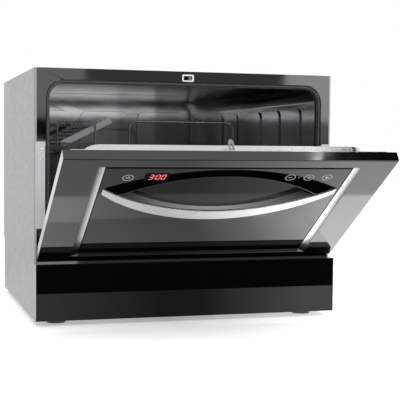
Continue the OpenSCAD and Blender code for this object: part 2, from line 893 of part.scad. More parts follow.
// Striker that enters the latch bezel when the door closes.
module latch_tongue() {
    color("#d0d2d3")
        on_door() {
            block(tongue_x0 - 7, tongue_x1 + 7, liner_flange_y - liner_t - 2, liner_flange_y - liner_t,
                tongue_z0 - 3, tongue_z0 + tongue_t + 2);
            difference() {
                translate([0, 0, tongue_z0])
                    linear_extrude(height = tongue_t)
                        polygon([
                            [tongue_x0, liner_flange_y - 2], [tongue_x1, liner_flange_y - 2],
                            [tongue_x1, frame_y + 17], [tongue_x1 - 2.6, frame_y + 22],
                            [tongue_x0 + 2.6, frame_y + 22], [tongue_x0, frame_y + 17]
                        ]);
                block(tongue_x0 + 3, tongue_x1 - 3, frame_y + 6, frame_y + 14,
                    tongue_z0 - 1, tongue_z0 + tongue_t + 1);
            }
        }
}

cup_x0 = disp_x0 + 12;
cup_x1 = cup_x0 + 66;
cup_z0 = disp_z0 + 14;
cup_z1 = disp_z1 - 10;
lid_pin_y = disp_face - 1.6;
lid_pin_z = cup_z0 - 5;
lid_t = 2.4;
barrel_r = 2.2;
lid_pin_r = 1.1;
cap_x = disp_x1 - 32;
cap_z = (disp_z0 + disp_z1) / 2;
cap_r = 18;
cap_stem_r = 14;

module dispenser_body() {
    color("#d8dadb")
        on_door() {
            difference() {
                union() {
                    slab_y(dish_y, disp_face)
                        round_span(disp_x0, disp_x1, disp_z0, disp_z1, 9);
                    slab_y(dish_y - 23, dish_y)
                        round_span(disp_x0 + 4.3, disp_x1 - 4.3, disp_z0 + 4.3, disp_z1 - 4.3, 5.5);
                }
                slab_y(dish_y - 20, disp_face + 1)
                    round_span(cup_x0, cup_x1, cup_z0, cup_z1, 6);
                block(cup_x0 - 3.3, cup_x1 + 3.3, lid_pin_y - lid_t / 2 - 0.2, disp_face + 1,
                    lid_pin_z - 3, cup_z1 + 3.3);
                rod_x(cup_x0 + 4, cup_x1 - 4, lid_pin_y, lid_pin_z, barrel_r + 0.5);
                rod_y(cap_x, dish_y - 14, disp_face + 1, cap_z, cap_stem_r + run);
                rod_y(cap_x, disp_face - 1.5, disp_face + 1, cap_z, cap_r + 0.4);
            }
            for (x = [cup_x0 + 4.6, cup_x1 - 9.6])
                rod_x(x, x + 5, lid_pin_y, lid_pin_z, lid_pin_r);
            for (x = [cup_x0 + 1, cup_x1 - 4.6])
                block(x, x + 3.6, lid_pin_y - 3, lid_pin_y + 1.2, lid_pin_z - 1.6, lid_pin_z + 1.6);
        }
}

module dispenser_lid() {
    color("#c8cacc")
        on_door()
            difference() {
                union() {
                    block(cup_x0 - 3, cup_x1 + 3, lid_pin_y - lid_t / 2, lid_pin_y + lid_t / 2,
                        lid_pin_z + 2.4, cup_z1 + 3);
                    block(cup_x0 + 10, cup_x1 - 10, lid_pin_y - lid_t / 2, lid_pin_y + lid_t / 2,
                        lid_pin_z, lid_pin_z + 3);
                    rod_x(cup_x0 + 4.9, cup_x1 - 4.9, lid_pin_y, lid_pin_z, barrel_r);
                    block((cup_x0 + cup_x1) / 2 - 8, (cup_x0 + cup_x1) / 2 + 8,
                        lid_pin_y + 1, lid_pin_y + 2.6, cup_z1 - 5, cup_z1 + 1);
                }
                rod_x(cup_x0, cup_x1, lid_pin_y, lid_pin_z, lid_pin_r + run);
            }
}

module rinse_aid_cap() {
    color("#3a3d41")
        on_door() {
            rod_y(cap_x, disp_face - 1.3, disp_face + 2, cap_z, cap_r);
            rod_y(cap_x, dish_y - 12, disp_face - 1.3, cap_z, cap_stem_r);
            block(cap_x - 12, cap_x + 12, disp_face + 2, disp_face + 5.5, cap_z - 2, cap_z + 2);
        }
}

// ---------- rack ----------

// A wire bend in an upright plane that runs front to back.
module bend_yz(x, y, z, big_r, r, turn) {
    translate([x, y, z])
        rotate([90, 0, 90])
            rotate([0, 0, turn])
                bend(big_r, r);
}

// A wire bend in an upright plane that runs left to right.
module bend_xz(x, y, z, big_r, r, turn) {
    translate([x, y, z])
        rotate([90, 0, 0])
            rotate([0, 0, turn])
                bend(big_r, r);
}

rack_half = rack_w / 2;
ring_c = 24;
elbow = 10;
floor_z = rack_z0 + inset;
cross_z = floor_z + 2 * wire_r - 0.5;
wall_x = rack_half - inset;
wall_y0 = rack_y0 + inset;
wall_y1 = rack_y1 - inset;
tine_top = 262;
loop_top = shelf_z + 40;

module rack_ring(z) {
    rod_x(-rack_half + ring_c, rack_half - ring_c, rack_y0, z, ring_r);
    rod_x(-rack_half + ring_c, rack_half - ring_c, rack_y1, z, ring_r);
    both_sides() {
        rod_y(rack_half, rack_y0 + ring_c, rack_y1 - ring_c, z, ring_r);
        translate([rack_half - ring_c, rack_y1 - ring_c, z])
            bend(ring_c, ring_r);
        translate([rack_half - ring_c, rack_y0 + ring_c, z])
            rotate([0, 0, 270])
                bend(ring_c, ring_r);
    }
}

module long_wire(x) {
    rod_y(x, wall_y0 + elbow, wall_y1 - elbow, floor_z, wire_r);
    rod_z(x, wall_y0, floor_z + elbow, rack_z1 + 2, wire_r);
    rod_z(x, wall_y1, floor_z + elbow, rack_z1 + 2, wire_r);
    bend_yz(x, wall_y0 + elbow, floor_z + elbow, elbow, wire_r, 180);
    bend_yz(x, wall_y1 - elbow, floor_z + elbow, elbow, wire_r, 270);
}

module cross_wire(y) {
    rod_x(-wall_x + elbow, wall_x - elbow, y, cross_z, wire_r);
    rod_z(-wall_x, y, cross_z + elbow, rack_z1 + 2, wire_r);
    rod_z(wall_x, y, cross_z + elbow, rack_z1 + 2, wire_r);
    bend_xz(-wall_x + elbow, y, cross_z + elbow, elbow, wire_r, 180);
    bend_xz(wall_x - elbow, y, cross_z + elbow, elbow, wire_r, 270);
}

// Tall wire loop that carries the cup shelf at the left of the rack.
module shelf_loop(y) {
    rod_z(loop_x, y, cross_z, loop_top - elbow, wire_r);
    rod_z(-wall_x, y, rack_z1, loop_top - elbow, wire_r);
    rod_x(-wall_x + elbow, loop_x - elbow, y, loop_top, wire_r);
    bend_xz(loop_x - elbow, y, loop_top - elbow, elbow, wire_r, 0);
    bend_xz(-wall_x + elbow, y, loop_top - elbow, elbow, wire_r, 90);
    rod_x(-wall_x, loop_x, y, shelf_z, wire_r - 0.3);
}

module handle_hoop() {
    for (x = [-hoop_half, hoop_half])
        rod_z(x, rack_y0 + inset, rack_z0, hoop_z - 14, wire_r + 0.2);
    rod_x(-hoop_half + 14, hoop_half - 14, rack_y0 + inset, hoop_z, wire_r + 0.2);
    bend_xz(hoop_half - 14, rack_y0 + inset, hoop_z - 14, 14, wire_r + 0.2, 0);
    bend_xz(-hoop_half + 14, rack_y0 + inset, hoop_z - 14, 14, wire_r + 0.2, 90);
}

module lower_rack() {
    color("#d3d5d7") {
        rack_ring(rack_z0);
        rack_ring(rack_z1);
        for (i = [-4 : 4])
            long_wire(i * 46 + 3);
        for (y = [loop_y0, -75, 0, 75, loop_y1])
            cross_wire(y);
        for (y = [-75, 75])
            for (i = [0 : 8])
                rod_z(-110 + i * 25, y, cross_z, tine_top, wire_r - 0.2);
        shelf_loop(loop_y0);
        shelf_loop(loop_y1);
        rod_y(shelf_x, loop_y0, loop_y1, shelf_z, pivot_r);
        handle_hoop();
    }
}

module rack_axles() {
    color("#6c7074")
        both_sides()
            for (y = [wheel_yf, wheel_yr]) {
                difference() {
                    block(rack_half - 6, wheel_x0 - 0.6, y - 9, y + 9, wheel_z - 5, rack_z0 + ring_r + 2);
                    rod_y(rack_half, y - 10, y + 10, rack_z0, ring_r + run);
                }
                rod_x(wheel_x0 - 0.6, wheel_x0 + wheel_w + 0.6, y, wheel_z, 3);
                rod_x(wheel_x0 + wheel_w + 0.6, wheel_x0 + wheel_w + 2, y, wheel_z, 4.4);
            }
}

module wheel_pair(y) {
    both_sides()
        difference() {
            rod_x(wheel_x0, wheel_x0 + wheel_w, y, wheel_z, wheel_r);
            rod_x(wheel_x0 - 1, wheel_x0 + wheel_w + 1, y, wheel_z, 3 + run);
            for (a = [0 : 60 : 300])
                rod_x(wheel_x0 - 1, wheel_x0 + wheel_w + 1, y + 7.6 * cos(a), wheel_z + 7.6 * sin(a), 2.1);
        }
}

module front_wheels() {
    color("#8b8f93")
        wheel_pair(wheel_yf);
}

module rear_wheels() {
    color("#8b8f93")
        wheel_pair(wheel_yr);
}

// One side bar of the cup shelf, lying along its own X axis with the pivot at the origin.
module shelf_bar() {
    difference() {
        union() {
            span(0, shelf_len, -5, 6);
            circle(r = 6);
            for (i = [0 : 3])
                span(shelf_len - 8 - i * 8, shelf_len - 5 - i * 8, 5, 10);
        }
        circle(r = pivot_r + run);
        for (i = [0 : 3])
            translate([18 + i * 18, 0])
                circle(r = 2);
    }
}

module cup_shelf() {
    color("#8d9194")
        translate([shelf_x, 0, shelf_z])
            rotate([0, -shelf_tilt, 0])
                for (y = [loop_y0 + 5, loop_y1 - 11])
                    slab_y(y, y + 6)
                        shelf_bar();
    color("#8d9194")
        translate([shelf_x, 0, shelf_z])
            rotate([0, -shelf_tilt, 0])
                for (i = [0 : 3])
                    rod_y(18 + i * 18, loop_y0 + 5, loop_y1 - 5, 0, 2);
}

basket_x1 = rack_half - 20;
basket_x0 = basket_x1 - 90;
basket_y0 = wall_y0 + wire_r + 1.5;
basket_y1 = basket_y0 + 92;
basket_z0 = cross_z + wire_r + seat;
basket_z1 = rack_z1 + 2;
basket_wall = 2;

module cutlery_basket() {
    color("#5b5f63")
        difference() {
            block(basket_x0, basket_x1, basket_y0, basket_y1, basket_z0, basket_z1);
            for (i = [0 : 2])
                for (j = [0 : 1])
                    block(basket_x0 + basket_wall + i * 29.5, basket_x0 + basket_wall + 27 + i * 29.5,
                        basket_y0 + basket_wall + j * 45, basket_y0 + basket_wall + 43 + j * 45,
                        basket_z0 + basket_wall, basket_z1 + 1);
            for (i = [0 : 7])
                for (k = [0 : 2])
                    block(basket_x0 + 7 + i * 10.2, basket_x0 + 11.5 + i * 10.2, basket_y0 - 1, basket_y0 + 3,
                        basket_z0 + 12 + k * 30, basket_z0 + 34 + k * 30);
            for (i = [0 : 7])
                for (k = [0 : 2])
                    block(basket_x0 + 7 + i * 10.2, basket_x0 + 11.5 + i * 10.2, basket_y1 - 3, basket_y1 + 1,
                        basket_z0 + 12 + k * 30, basket_z0 + 34 + k * 30);
        }
}

// ---------- wash system ----------

arm_w = 34;
arm_t = 11;
hub_r = 10;
arm_turn = 24;

module arm_plan(g) {
    for (s = [-1, 1])
        translate([s * (arm_r - arm_w / 2), 0])
            circle(r = arm_w / 2 - g);
    span(-arm_r + arm_w / 2, arm_r - arm_w / 2, -arm_w / 2 + g, arm_w / 2 - g);
    circle(r = 30 - g);
}

module spray_arm() {
    color("#9aa0a4")
        translate([0, hub_y, 0])
            rotate([0, 0, arm_turn])
                difference() {
                    union() {
                        slab_z(arm_z, arm_z + arm_t)
                            arm_plan(0);
                        rod_z(0, 0, arm_z, arm_z + arm_t + 3, 17);
                        for (s = [-1, 1])
                            for (i = [1 : 5])
                                rod_z(s * i * 33, s * 4, arm_z + arm_t - 1, arm_z + arm_t + 1.4, 4.5);
                    }
                    difference() {
                        slab_z(arm_z + 1.6, arm_z + arm_t - 1.6)
                            arm_plan(1.6);
                        rod_z(0, 0, arm_z - 1, arm_z + arm_t + 1, 15);
                    }
                    rod_z(0, 0, arm_z - 1, arm_z + arm_t + 4, hub_r + run);
                    for (s = [-1, 1])
                        for (i = [1 : 5])
                            rod_z(s * i * 33, s * 4, arm_z + arm_t - 3, arm_z + arm_t + 2, 1.6);
                }
}

module spray_hub() {
    color("#4a4e52")
        difference() {
            union() {
                rod_z(0, hub_y, tub_floor + seat, arm_z - 0.4, 20);
                rod_z(0, hub_y, 118, arm_z + arm_t + 3.4, hub_r);
                rod_z(0, hub_y, arm_z + arm_t + 3.4, arm_z + arm_t + 6.5, 13);
                rod_z(0, hub_y, 118, tub_floor + 1, 12.5);
            }
            rod_z(0, hub_y, 117, arm_z + arm_t, 7);
        }
}

sump_r = filter_r + 5;

module sump() {
    color("#2f3236")
        difference() {
            union() {
                rod_z(filter_x, filter_y, 96, tub_floor - tub_t, sump_r - 9);
                rod_z(filter_x, filter_y, tub_floor - tub_t - 5, tub_floor - tub_t, sump_r);
                rod_z(filter_x, filter_y, 76, 98, filter_cyl_r + 9);
                rod_y(filter_x, filter_y, filter_y + 96, 90, 13);
                rod_x(filter_x, filter_x + 66, filter_y, 88, 12);
                rod_x(-8, filter_x - 40, filter_y, 108, 8);
            }
            rod_z(filter_x, filter_y, 99, tub_floor, sump_r - 12);
            rod_z(filter_x, filter_y, 79, 100, filter_cyl_r + 4);
            rod_y(filter_x, filter_y, filter_y + 97, 90, 10.5);
            rod_x(filter_x, filter_x + 67, filter_y, 88, 9.5);
            rod_x(-9, filter_x - 40, filter_y, 108, 6);
        }
}

module filter_plate() {
    color("#aeb2b4")
        difference() {
            rod_z(filter_x, filter_y, tub_floor + seat, tub_floor + seat + 1.4, filter_r);
            rod_z(filter_x, filter_y, tub_floor, tub_floor + 3, filter_cyl_r + run + 0.1);
            for (a = [0 : 20 : 340])
                for (q = [36, 46])
                    rod_z(filter_x + q * cos(a + q), filter_y + q * sin(a + q),
                        tub_floor, tub_floor + 3, 2.2);
        }
}

module filter_cylinder() {
    color("#7b8084")
        difference() {
            union() {
                rod_z(filter_x, filter_y, 82, tub_floor + 4, filter_cyl_r);
                block(filter_x - 20, filter_x + 20, filter_y - 2.5, filter_y + 2.5,
                    tub_floor + 3, tub_floor + 11);
            }
            rod_z(filter_x, filter_y, 81, tub_floor + 1.5, filter_cyl_r - 2);
            for (a = [0 : 45 : 135])
                for (z = [96, 118])
                    translate([filter_x, filter_y, z])
                        rotate([0, 0, a])
                            block(-filter_cyl_r - 1, filter_cyl_r + 1, -4, 4, 0, 16);
        }
}

neck_r = 30;
salt_stem_r = 21;

module salt_cap() {
    color("#e1e3e4")
        difference() {
            union() {
                rod_z(salt_x, salt_y, tub_floor + seat, tub_floor + 6, salt_r);
                rod_z(salt_x, salt_y, tub_floor - 14, tub_floor + seat, salt_stem_r);
                block(salt_x - 18, salt_x + 18, salt_y - 3, salt_y + 3, tub_floor + 6, tub_floor + 12);
            }
            rod_z(salt_x, salt_y, tub_floor - 15, tub_floor + 2, salt_stem_r - 3);
        }
}

module softener_tank() {
    color("#c9ccce")
        difference() {
            union() {
                block(tank_x0, tank_x1, -150, 10, tank_z, 122);
                rod_z(salt_x, salt_y, 120, tub_floor - tub_t, neck_r);
                rod_x(tank_x1 - 2, -50, filter_y, 108, 8);
            }
            block(tank_x0 + 3, tank_x1 - 3, -147, 7, tank_z + 3, 119);
            rod_z(salt_x, salt_y, 110, tub_floor, salt_stem_r + run);
            rod_x(tank_x1 - 4, -49, filter_y, 108, 6);
        }
}

module wash_pump() {
    color("#3a3d41")
        difference() {
            union() {
                rod_x(pump_x - 50, pump_x - 14, pump_y, pump_z, 40);
                rod_y(pump_x - 32, filter_y + 96 + seat, pump_y, 90, 13);
                block(pump_x - 48, pump_x - 16, pump_y - 30, pump_y + 30, rib_top + seat, 50);
                rod_x(pump_x - 60, pump_x - 48, pump_y, 96, 11);
            }
            rod_x(pump_x - 47, pump_x - 17, pump_y, pump_z, 36);
            rod_y(pump_x - 32, filter_y + 96, pump_y, 90, 10.5);
            rod_x(pump_x - 61, pump_x - 40, pump_y, 96, 8.5);
        }
}

module pump_motor() {
    color("#8e9396") {
        rod_x(pump_x - 14 + seat, pump_x + 62, pump_y, pump_z, 34);
        rod_x(pump_x + 62, pump_x + 70, pump_y, pump_z, 20);
        for (i = [0 : 6])
            rod_x(pump_x - 4 + i * 9, pump_x - 1 + i * 9, pump_y, pump_z, 37);
        block(pump_x, pump_x + 50, pump_y - 22, pump_y + 22, rib_top + seat, 44);
    }
}

module drain_pump() {
    color("#45494d") {
        difference() {
            union() {
                rod_x(filter_x + 66 + seat, filter_x + 96, filter_y, 84, 25);
                rod_z(drain_x, filter_y, 100, 112 - seat, 8);
            }
            rod_x(filter_x + 65, filter_x + 92, filter_y, 84, 21);
            rod_z(drain_x, filter_y, 99, 113, 6);
        }
        rod_x(filter_x + 96, filter_x + 140, filter_y, 84, 21);
        block(filter_x + 72, filter_x + 132, filter_y - 14, filter_y + 14, rib_top + seat, 66);
    }
}

heater_x = 0;

module heater() {
    color("#b7babc") {
        difference() {
            rod_y(heater_x, 40, 138, 96, 19);
            rod_y(heater_x, 39, 139, 96, 17);
            rod_x(heater_x, heater_x + 20, pump_y, 96, 8.5);
        }
        difference() {
            rod_y(heater_x, 38, 40, 96, 19);
            rod_y(heater_x, 37, 41, 96, 10);
        }
        rod_y(heater_x, 138, 140, 96, 19);
        rod_y(heater_x, 48, 139, 96, 3);
        block(heater_x - 8, heater_x + 8, 70, 110, rib_top + seat, 77.6);
    }
}

// Path of the drain hose from the drain pump up, back under the tub and down to the rear spigot.
module drain_path(r) {
    bend_yz(drain_x, filter_y + 20, 112, 20, r, 90);
    rod_y(drain_x, filter_y + 20, recess_y - 58, 132, r);
    bend_yz(drain_x, recess_y - 58, 112, 20, r, 0);
    rod_z(drain_x, recess_y - 38, conn_z + 20, 112, r);
    bend_yz(drain_x, recess_y - 18, conn_z + 20, 20, r, 180);
}

// Moulded hoses that join pump, heater, spray hub, softener and the rear spigot.
module water_pipes() {
    color("#1d1f21") {
        difference() {
            rod_x(heater_x + 19 + seat, pump_x - 60 - seat, pump_y, 96, 11);
            rod_x(heater_x + 18, pump_x - 59, pump_y, 96, 8.5);
        }
        difference() {
            union() {
                rod_z(0, hub_y, 84, 118 - seat, 12);
                rod_y(0, hub_y, 38 - seat, 96, 9.6);
            }
            rod_z(0, hub_y, 87, 119, 9);
            rod_y(0, hub_y, 39, 96, 7);
        }
        difference() {
            rod_x(-50 + seat, -8 - seat, filter_y, 108, 8);
            rod_x(-51, -7, filter_y, 108, 6);
        }
        difference() {
            drain_path(8);
            drain_path(6);
        }
    }
}

air_z0 = 190;
air_z1 = tub_top - 22;

module air_break() {
    color("#d7dadc")
        difference() {
            union() {
                block(-panel_in + 0.4, -panel_in + 13.4, -112, 112, air_z0, air_z1);
                rod_z(-panel_in + 7, -60, 150, air_z0 + 1, 5.5);
                rod_z(-panel_in + 7, 60, 150, air_z0 + 1, 5.5);
            }
            for (i = [0 : 4])
                block(-panel_in + 2, -panel_in + 11.8, -109 + i * 44, -69 + i * 44, air_z0 + 3, air_z1 - 3);
            for (i = [0 : 3])
                block(-panel_in + 3, -panel_in + 10, -71 + i * 44, -63 + i * 44,
                    air_z0 + 10 + (i % 2) * (air_z1 - air_z0 - 42), air_z0 + 32 + (i % 2) * (air_z1 - air_z0 - 42));
            for (y = [-60, 60])
                rod_z(-panel_in + 7, y, 149, air_z0 + 4, 3.8);
        }
}

module_z1 = 66;

module control_module() {
    color("#33363a")
        difference() {
            union() {
                block(module_x0, module_x1, module_y0, module_y1, boss_top + seat, module_z1);
                for (y = [module_y0 + 14, module_y1 - 14])
                    block(module_x1, module_x1 + 6, y - 6, y + 6, boss_top + seat, boss_top + 5);
            }
            block(module_x0 + 2, module_x1 - 2, module_y0 + 2, module_y1 - 2, boss_top + 2.2, module_z1 - 2);
            for (i = [0 : 5])
                block(module_x0 + 10 + i * 16, module_x0 + 18 + i * 16, module_y0 - 1, module_y0 + 3,
                    module_z1 - 16, module_z1 - 8);
        }
}

module inlet_valve() {
    color("#caccce") {
        difference() {
            union() {
                rod_y(inlet_x, recess_y - 26, back_y, conn_z, inlet_r - 1.2);
                rod_y(inlet_x, recess_y + 3.4, back_y, conn_z, inlet_r);
                rod_y(inlet_x, recess_y - 3, recess_y - seat, conn_z, inlet_r + 4.5);
                block(inlet_x - 16, inlet_x + 16, recess_y - 46, recess_y - 24, conn_z - 16, conn_z + 16);
                rod_z(inlet_x, recess_y - 36, conn_z + 14, conn_z + 52, 12);
                rod_x(inlet_x + 14, inlet_x + 44, recess_y - 36, conn_z, 7);
            }
            rod_y(inlet_x, recess_y - 30, back_y + 1, conn_z, 8.5);
            rod_x(inlet_x + 10, inlet_x + 45, recess_y - 36, conn_z, 5);
            rod_y(inlet_x, recess_y - 40, recess_y - 29, conn_z, 5);
        }
    }
}

// The spigot's thicker root, which reaches past the rear panel by a little.
spigot_root_reach = 2.8;
spigot_root_wall = 0.8;

module drain_outlet() {
    color("#2b2d30")
        difference() {
            union() {
                rod_y(drain_x, recess_y - 18 + seat, recess_y + spigot_root_reach, conn_z,
                    drain_r + spigot_root_wall);
                rod_y(drain_x, recess_y - 18 + seat, back_y, conn_z, drain_r);
                rod_y(drain_x, recess_y - 4, recess_y - seat, conn_z, drain_r + 8);
            }
            rod_y(drain_x, recess_y - 19, back_y + 1, conn_z, drain_r - 2.5);
        }
}

module cord_gland() {
    color("#141516")
        difference() {
            union() {
                rod_y(gland_x, recess_y - 8, back_y - 4, conn_z, 8);
                rod_y(gland_x, recess_y - 3, recess_y - 0.05, conn_z, 11.5);
                rod_y(gland_x, recess_y + sheet_t + 0.05, recess_y + sheet_t + 3, conn_z, 10.5);
            }
            rod_y(gland_x, recess_y - 9, back_y, conn_z, cord_bore_r);
        }
}

base_tray();
feet();
left_side_panel();
right_side_panel();
top_panel();
rear_panel();
front_frame();
frame_screws();
rear_screws();
kick_panel();
tub();
tub_gasket();
tub_blanket();
latch_bezel();
latch_box();
latch_catch();
hinge_brackets();
hinge_pins();
door_shell();
door_glass();
handle_cup();
handle_trim();
display_board();
door_hinge_arms();
door_liner();
latch_tongue();
dispenser_body();
dispenser_lid();
rinse_aid_cap();
lower_rack();
rack_axles();
front_wheels();
rear_wheels();
cup_shelf();
cutlery_basket();
spray_arm();
spray_hub();
sump();
filter_plate();
filter_cylinder();
salt_cap();
softener_tank();
wash_pump();
pump_motor();
drain_pump();
heater();
water_pipes();
air_break();
control_module();
inlet_valve();
drain_outlet();
cord_gland();
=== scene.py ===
"""Dressing of the countertop dishwasher: finishes, printed marks, small hardware, studio and camera."""

import json
import math

import bmesh
import bpy
from mathutils import Matrix, Vector


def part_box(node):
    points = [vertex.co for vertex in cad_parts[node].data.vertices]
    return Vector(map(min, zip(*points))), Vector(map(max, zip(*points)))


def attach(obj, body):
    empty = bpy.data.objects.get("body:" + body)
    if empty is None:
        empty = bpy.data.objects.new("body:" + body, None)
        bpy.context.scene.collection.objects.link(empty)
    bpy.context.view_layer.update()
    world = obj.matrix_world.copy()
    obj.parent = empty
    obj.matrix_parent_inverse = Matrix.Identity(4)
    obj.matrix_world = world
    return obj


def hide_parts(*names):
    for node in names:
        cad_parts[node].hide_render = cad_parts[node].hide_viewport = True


bl_info = {
    "name": "Countertop Dishwasher Dressing",
    "version": (1, 0, 0),
    "blender": (4, 5, 0),
    "location": "3D View > Sidebar > Dishwasher",
    "description": "Finishes and details of a countertop dishwasher around its packed model",
    "category": "Object",
}

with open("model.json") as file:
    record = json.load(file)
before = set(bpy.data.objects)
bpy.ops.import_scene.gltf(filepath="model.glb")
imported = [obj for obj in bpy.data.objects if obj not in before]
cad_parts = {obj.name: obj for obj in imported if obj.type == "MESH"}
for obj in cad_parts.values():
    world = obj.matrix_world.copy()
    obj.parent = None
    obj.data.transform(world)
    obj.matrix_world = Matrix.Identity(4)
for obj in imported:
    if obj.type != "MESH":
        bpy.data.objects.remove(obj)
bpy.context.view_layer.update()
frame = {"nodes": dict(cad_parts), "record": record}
NODES = frame["nodes"]
RECORD = frame["record"]
SLOT_OF = {row["node"]: row["material_slot"] for row in RECORD["subparts"]}
BODY_OF = {n: body for body, nodes in RECORD["behaviour"]["bodies"].items() for n in nodes}
JOINTS = {row["name"]: row for row in RECORD["behaviour"]["joints"]}
MM = 0.001

# The door is described closed, in millimetres, and turned to the angle at which it stands.
HINGE_Y, HINGE_Z = (place / MM for place in JOINTS["door_hinge"]["pos_m"][1:])
DOOR_OPEN = -math.radians(JOINTS["door_hinge"]["range_deg"][0])


def closed_box(node):
    """Lowest and highest corner of one of the door's nodes with the door closed, to 0.01 mm."""
    back = Matrix.Rotation(-DOOR_OPEN, 3, "X")
    hinge = Vector((0, HINGE_Y, HINGE_Z))
    places = [back @ (vertex.co / MM - hinge) + hinge for vertex in NODES[node].data.vertices]
    return [[round(pick(place[k] for place in places), 2) for k in range(3)] for pick in (min, max)]


GLASS_LOW, GLASS_HIGH = closed_box("door_glass")
GLASS_HALF = GLASS_HIGH[0]
GLASS_FACE_Y = GLASS_LOW[1]
GLASS_Z0, GLASS_Z1 = GLASS_LOW[2], GLASS_HIGH[2]

SHELL_LOW, SHELL_HIGH = closed_box("door_shell")
DOOR_HALF = SHELL_HIGH[0]
SHELL_FACE_Y = SHELL_LOW[1]
DOOR_Z1 = SHELL_HIGH[2]

# The bevels from the shell's face down to the glass: their width beside it and past its ends, and the
# fall of those at its ends.
BEVEL_W = 13.0
END_BEVEL_W = 5.6
END_BEVEL_FALL = 0.5

# The pull recess: the lowest point and the radius of its lower arc, its wall, the depth of its floor at
# a place below that arc, and the floor's slope.
PULL_BOTTOM = 281.0
PULL_ARC = 306.0
CUP_WALL = 1.8
CUP_LOW = 6.0
CUP_LOW_Z = PULL_BOTTOM - 4
CUP_SLOPE = 15 / 87

# Thin sheets stand this far off what they lie on, and the bevels' strips are this thick.
LIFT = 0.02
STRIP = 0.08

# Vertices of a node closer than this, in metres, are one, and faces that bend less than this are one.
MERGE_REACH = 1e-6
FLAT_ENOUGH = math.radians(0.05)

# A flat face with more corners than this is cut into triangles before its edges are softened.
MOST_CORNERS = 80

# An edge is softened where both its faces are broader than this many times the softened width.
BROAD_ENOUGH = 2.4


def on_door(x, y, z):
    """Where a point of the closed door, in millimetres, lies at rest, in metres."""
    turned = Matrix.Rotation(DOOR_OPEN, 3, "X") @ Vector((0, y - HINGE_Y, z - HINGE_Z))
    return Vector((x, HINGE_Y + turned.y, HINGE_Z + turned.z)) * MM


# ---------- finishes ----------


# Most of a noise's values lie between these two.
NOISE_LOW, NOISE_HIGH = 0.3, 0.7


class Finish:
    """A node material with its principled shader and the few patterns that the finishes share."""

    def __init__(self, name, color, roughness, metallic=0.0, **sockets):
        self.material = bpy.data.materials.new(name)
        self.material.use_nodes = True
        self.nodes = self.material.node_tree.nodes
        self.links = self.material.node_tree.links
        self.shader = self.nodes["Principled BSDF"]
        self.shader.inputs["Base Color"].default_value = (*color[:3], 1)
        self.shader.inputs["Roughness"].default_value = roughness
        self.shader.inputs["Metallic"].default_value = metallic
        for socket, value in sockets.items():
            self.shader.inputs[socket.replace("_", " ")].default_value = value
        self.place = self.nodes.new("ShaderNodeTexCoord").outputs["Object"]
        self.height = None

    def noise(self, scale, detail=3.0, stretch=(1, 1, 1)):
        """Noise on the object's own coordinates, stretched per axis."""
        mapping = self.nodes.new("ShaderNodeMapping")
        mapping.inputs["Scale"].default_value = stretch
        self.links.new(self.place, mapping.inputs["Vector"])
        noise = self.nodes.new("ShaderNodeTexNoise")
        noise.inputs["Scale"].default_value = scale
        noise.inputs["Detail"].default_value = detail
        self.links.new(mapping.outputs["Vector"], noise.inputs["Vector"])
        return noise.outputs["Fac"]

    def spread(self, source, low, high):
        """A noise spread between two values."""
        node = self.nodes.new("ShaderNodeMapRange")
        node.inputs["From Min"].default_value = NOISE_LOW
        node.inputs["From Max"].default_value = NOISE_HIGH
        node.inputs["To Min"].default_value = low
        node.inputs["To Max"].default_value = high
        self.links.new(source, node.inputs["Value"])
        return node.outputs["Result"]

    def across(self, axis, low, high, mirrored=False):
        """0 to 1 along one of the object's own axes, between two places in millimetres."""
        parts = self.nodes.new("ShaderNodeSeparateXYZ")
        self.links.new(self.place, parts.inputs["Vector"])
        source = parts.outputs[axis]
        if mirrored:
            far = self.nodes.new("ShaderNodeMath")
            far.operation = "ABSOLUTE"
            self.links.new(source, far.inputs[0])
            source = far.outputs["Value"]
        node = self.nodes.new("ShaderNodeMapRange")
        node.inputs["From Min"].default_value = low * MM
        node.inputs["From Max"].default_value = high * MM
        self.links.new(source, node.inputs["Value"])
        return node.outputs["Result"]

    def product(self, first, second):
        """Two 0 to 1 patterns multiplied."""
        node = self.nodes.new("ShaderNodeMath")
        node.operation = "MULTIPLY"
        self.links.new(first, node.inputs[0])
        self.links.new(second, node.inputs[1])
        return node.outputs["Value"]

    def rough(self, source, low, high):
        """Roughness that wanders between two values."""
        self.links.new(self.spread(source, low, high), self.shader.inputs["Roughness"])
        return self

    def tint(self, source, dark, light, ends=(NOISE_LOW, NOISE_HIGH)):
        """Colour that runs between two shades."""
        ramp = self.nodes.new("ShaderNodeValToRGB")
        ramp.color_ramp.elements[0].position = ends[0]
        ramp.color_ramp.elements[1].position = ends[1]
        ramp.color_ramp.elements[0].color = (*dark, 1)
        ramp.color_ramp.elements[1].color = (*light, 1)
        self.links.new(source, ramp.inputs["Fac"])
        self.links.new(ramp.outputs["Color"], self.shader.inputs["Base Color"])
        return self

    def bump(self, source, distance, strength=0.5):
        """Relief from a pattern; a second call adds to the first."""
        bump = self.nodes.new("ShaderNodeBump")
        bump.inputs["Strength"].default_value = strength
        bump.inputs["Distance"].default_value = distance
        self.links.new(source, bump.inputs["Height"])
        if self.height is not None:
            self.links.new(self.height, bump.inputs["Normal"])
        self.height = bump.outputs["Normal"]
        self.links.new(self.height, self.shader.inputs["Normal"])
        return self


def shades(color, spread):
    """A darker and a lighter shade of a colour."""
    return [tuple(min(1, c * k) for c in color[:3]) for k in (1 - spread, 1 + spread)]


def gloss_plastic(name, color, roughness=0.045, ior=1.5):
    """Mirror-gloss moulding with the faintest flow ripple."""
    f = Finish(name, color, roughness, IOR=ior)
    f.rough(f.noise(38, 4), roughness * 0.7, roughness * 1.5)
    return f.bump(f.noise(26, 2), 0.00004, 0.25).material


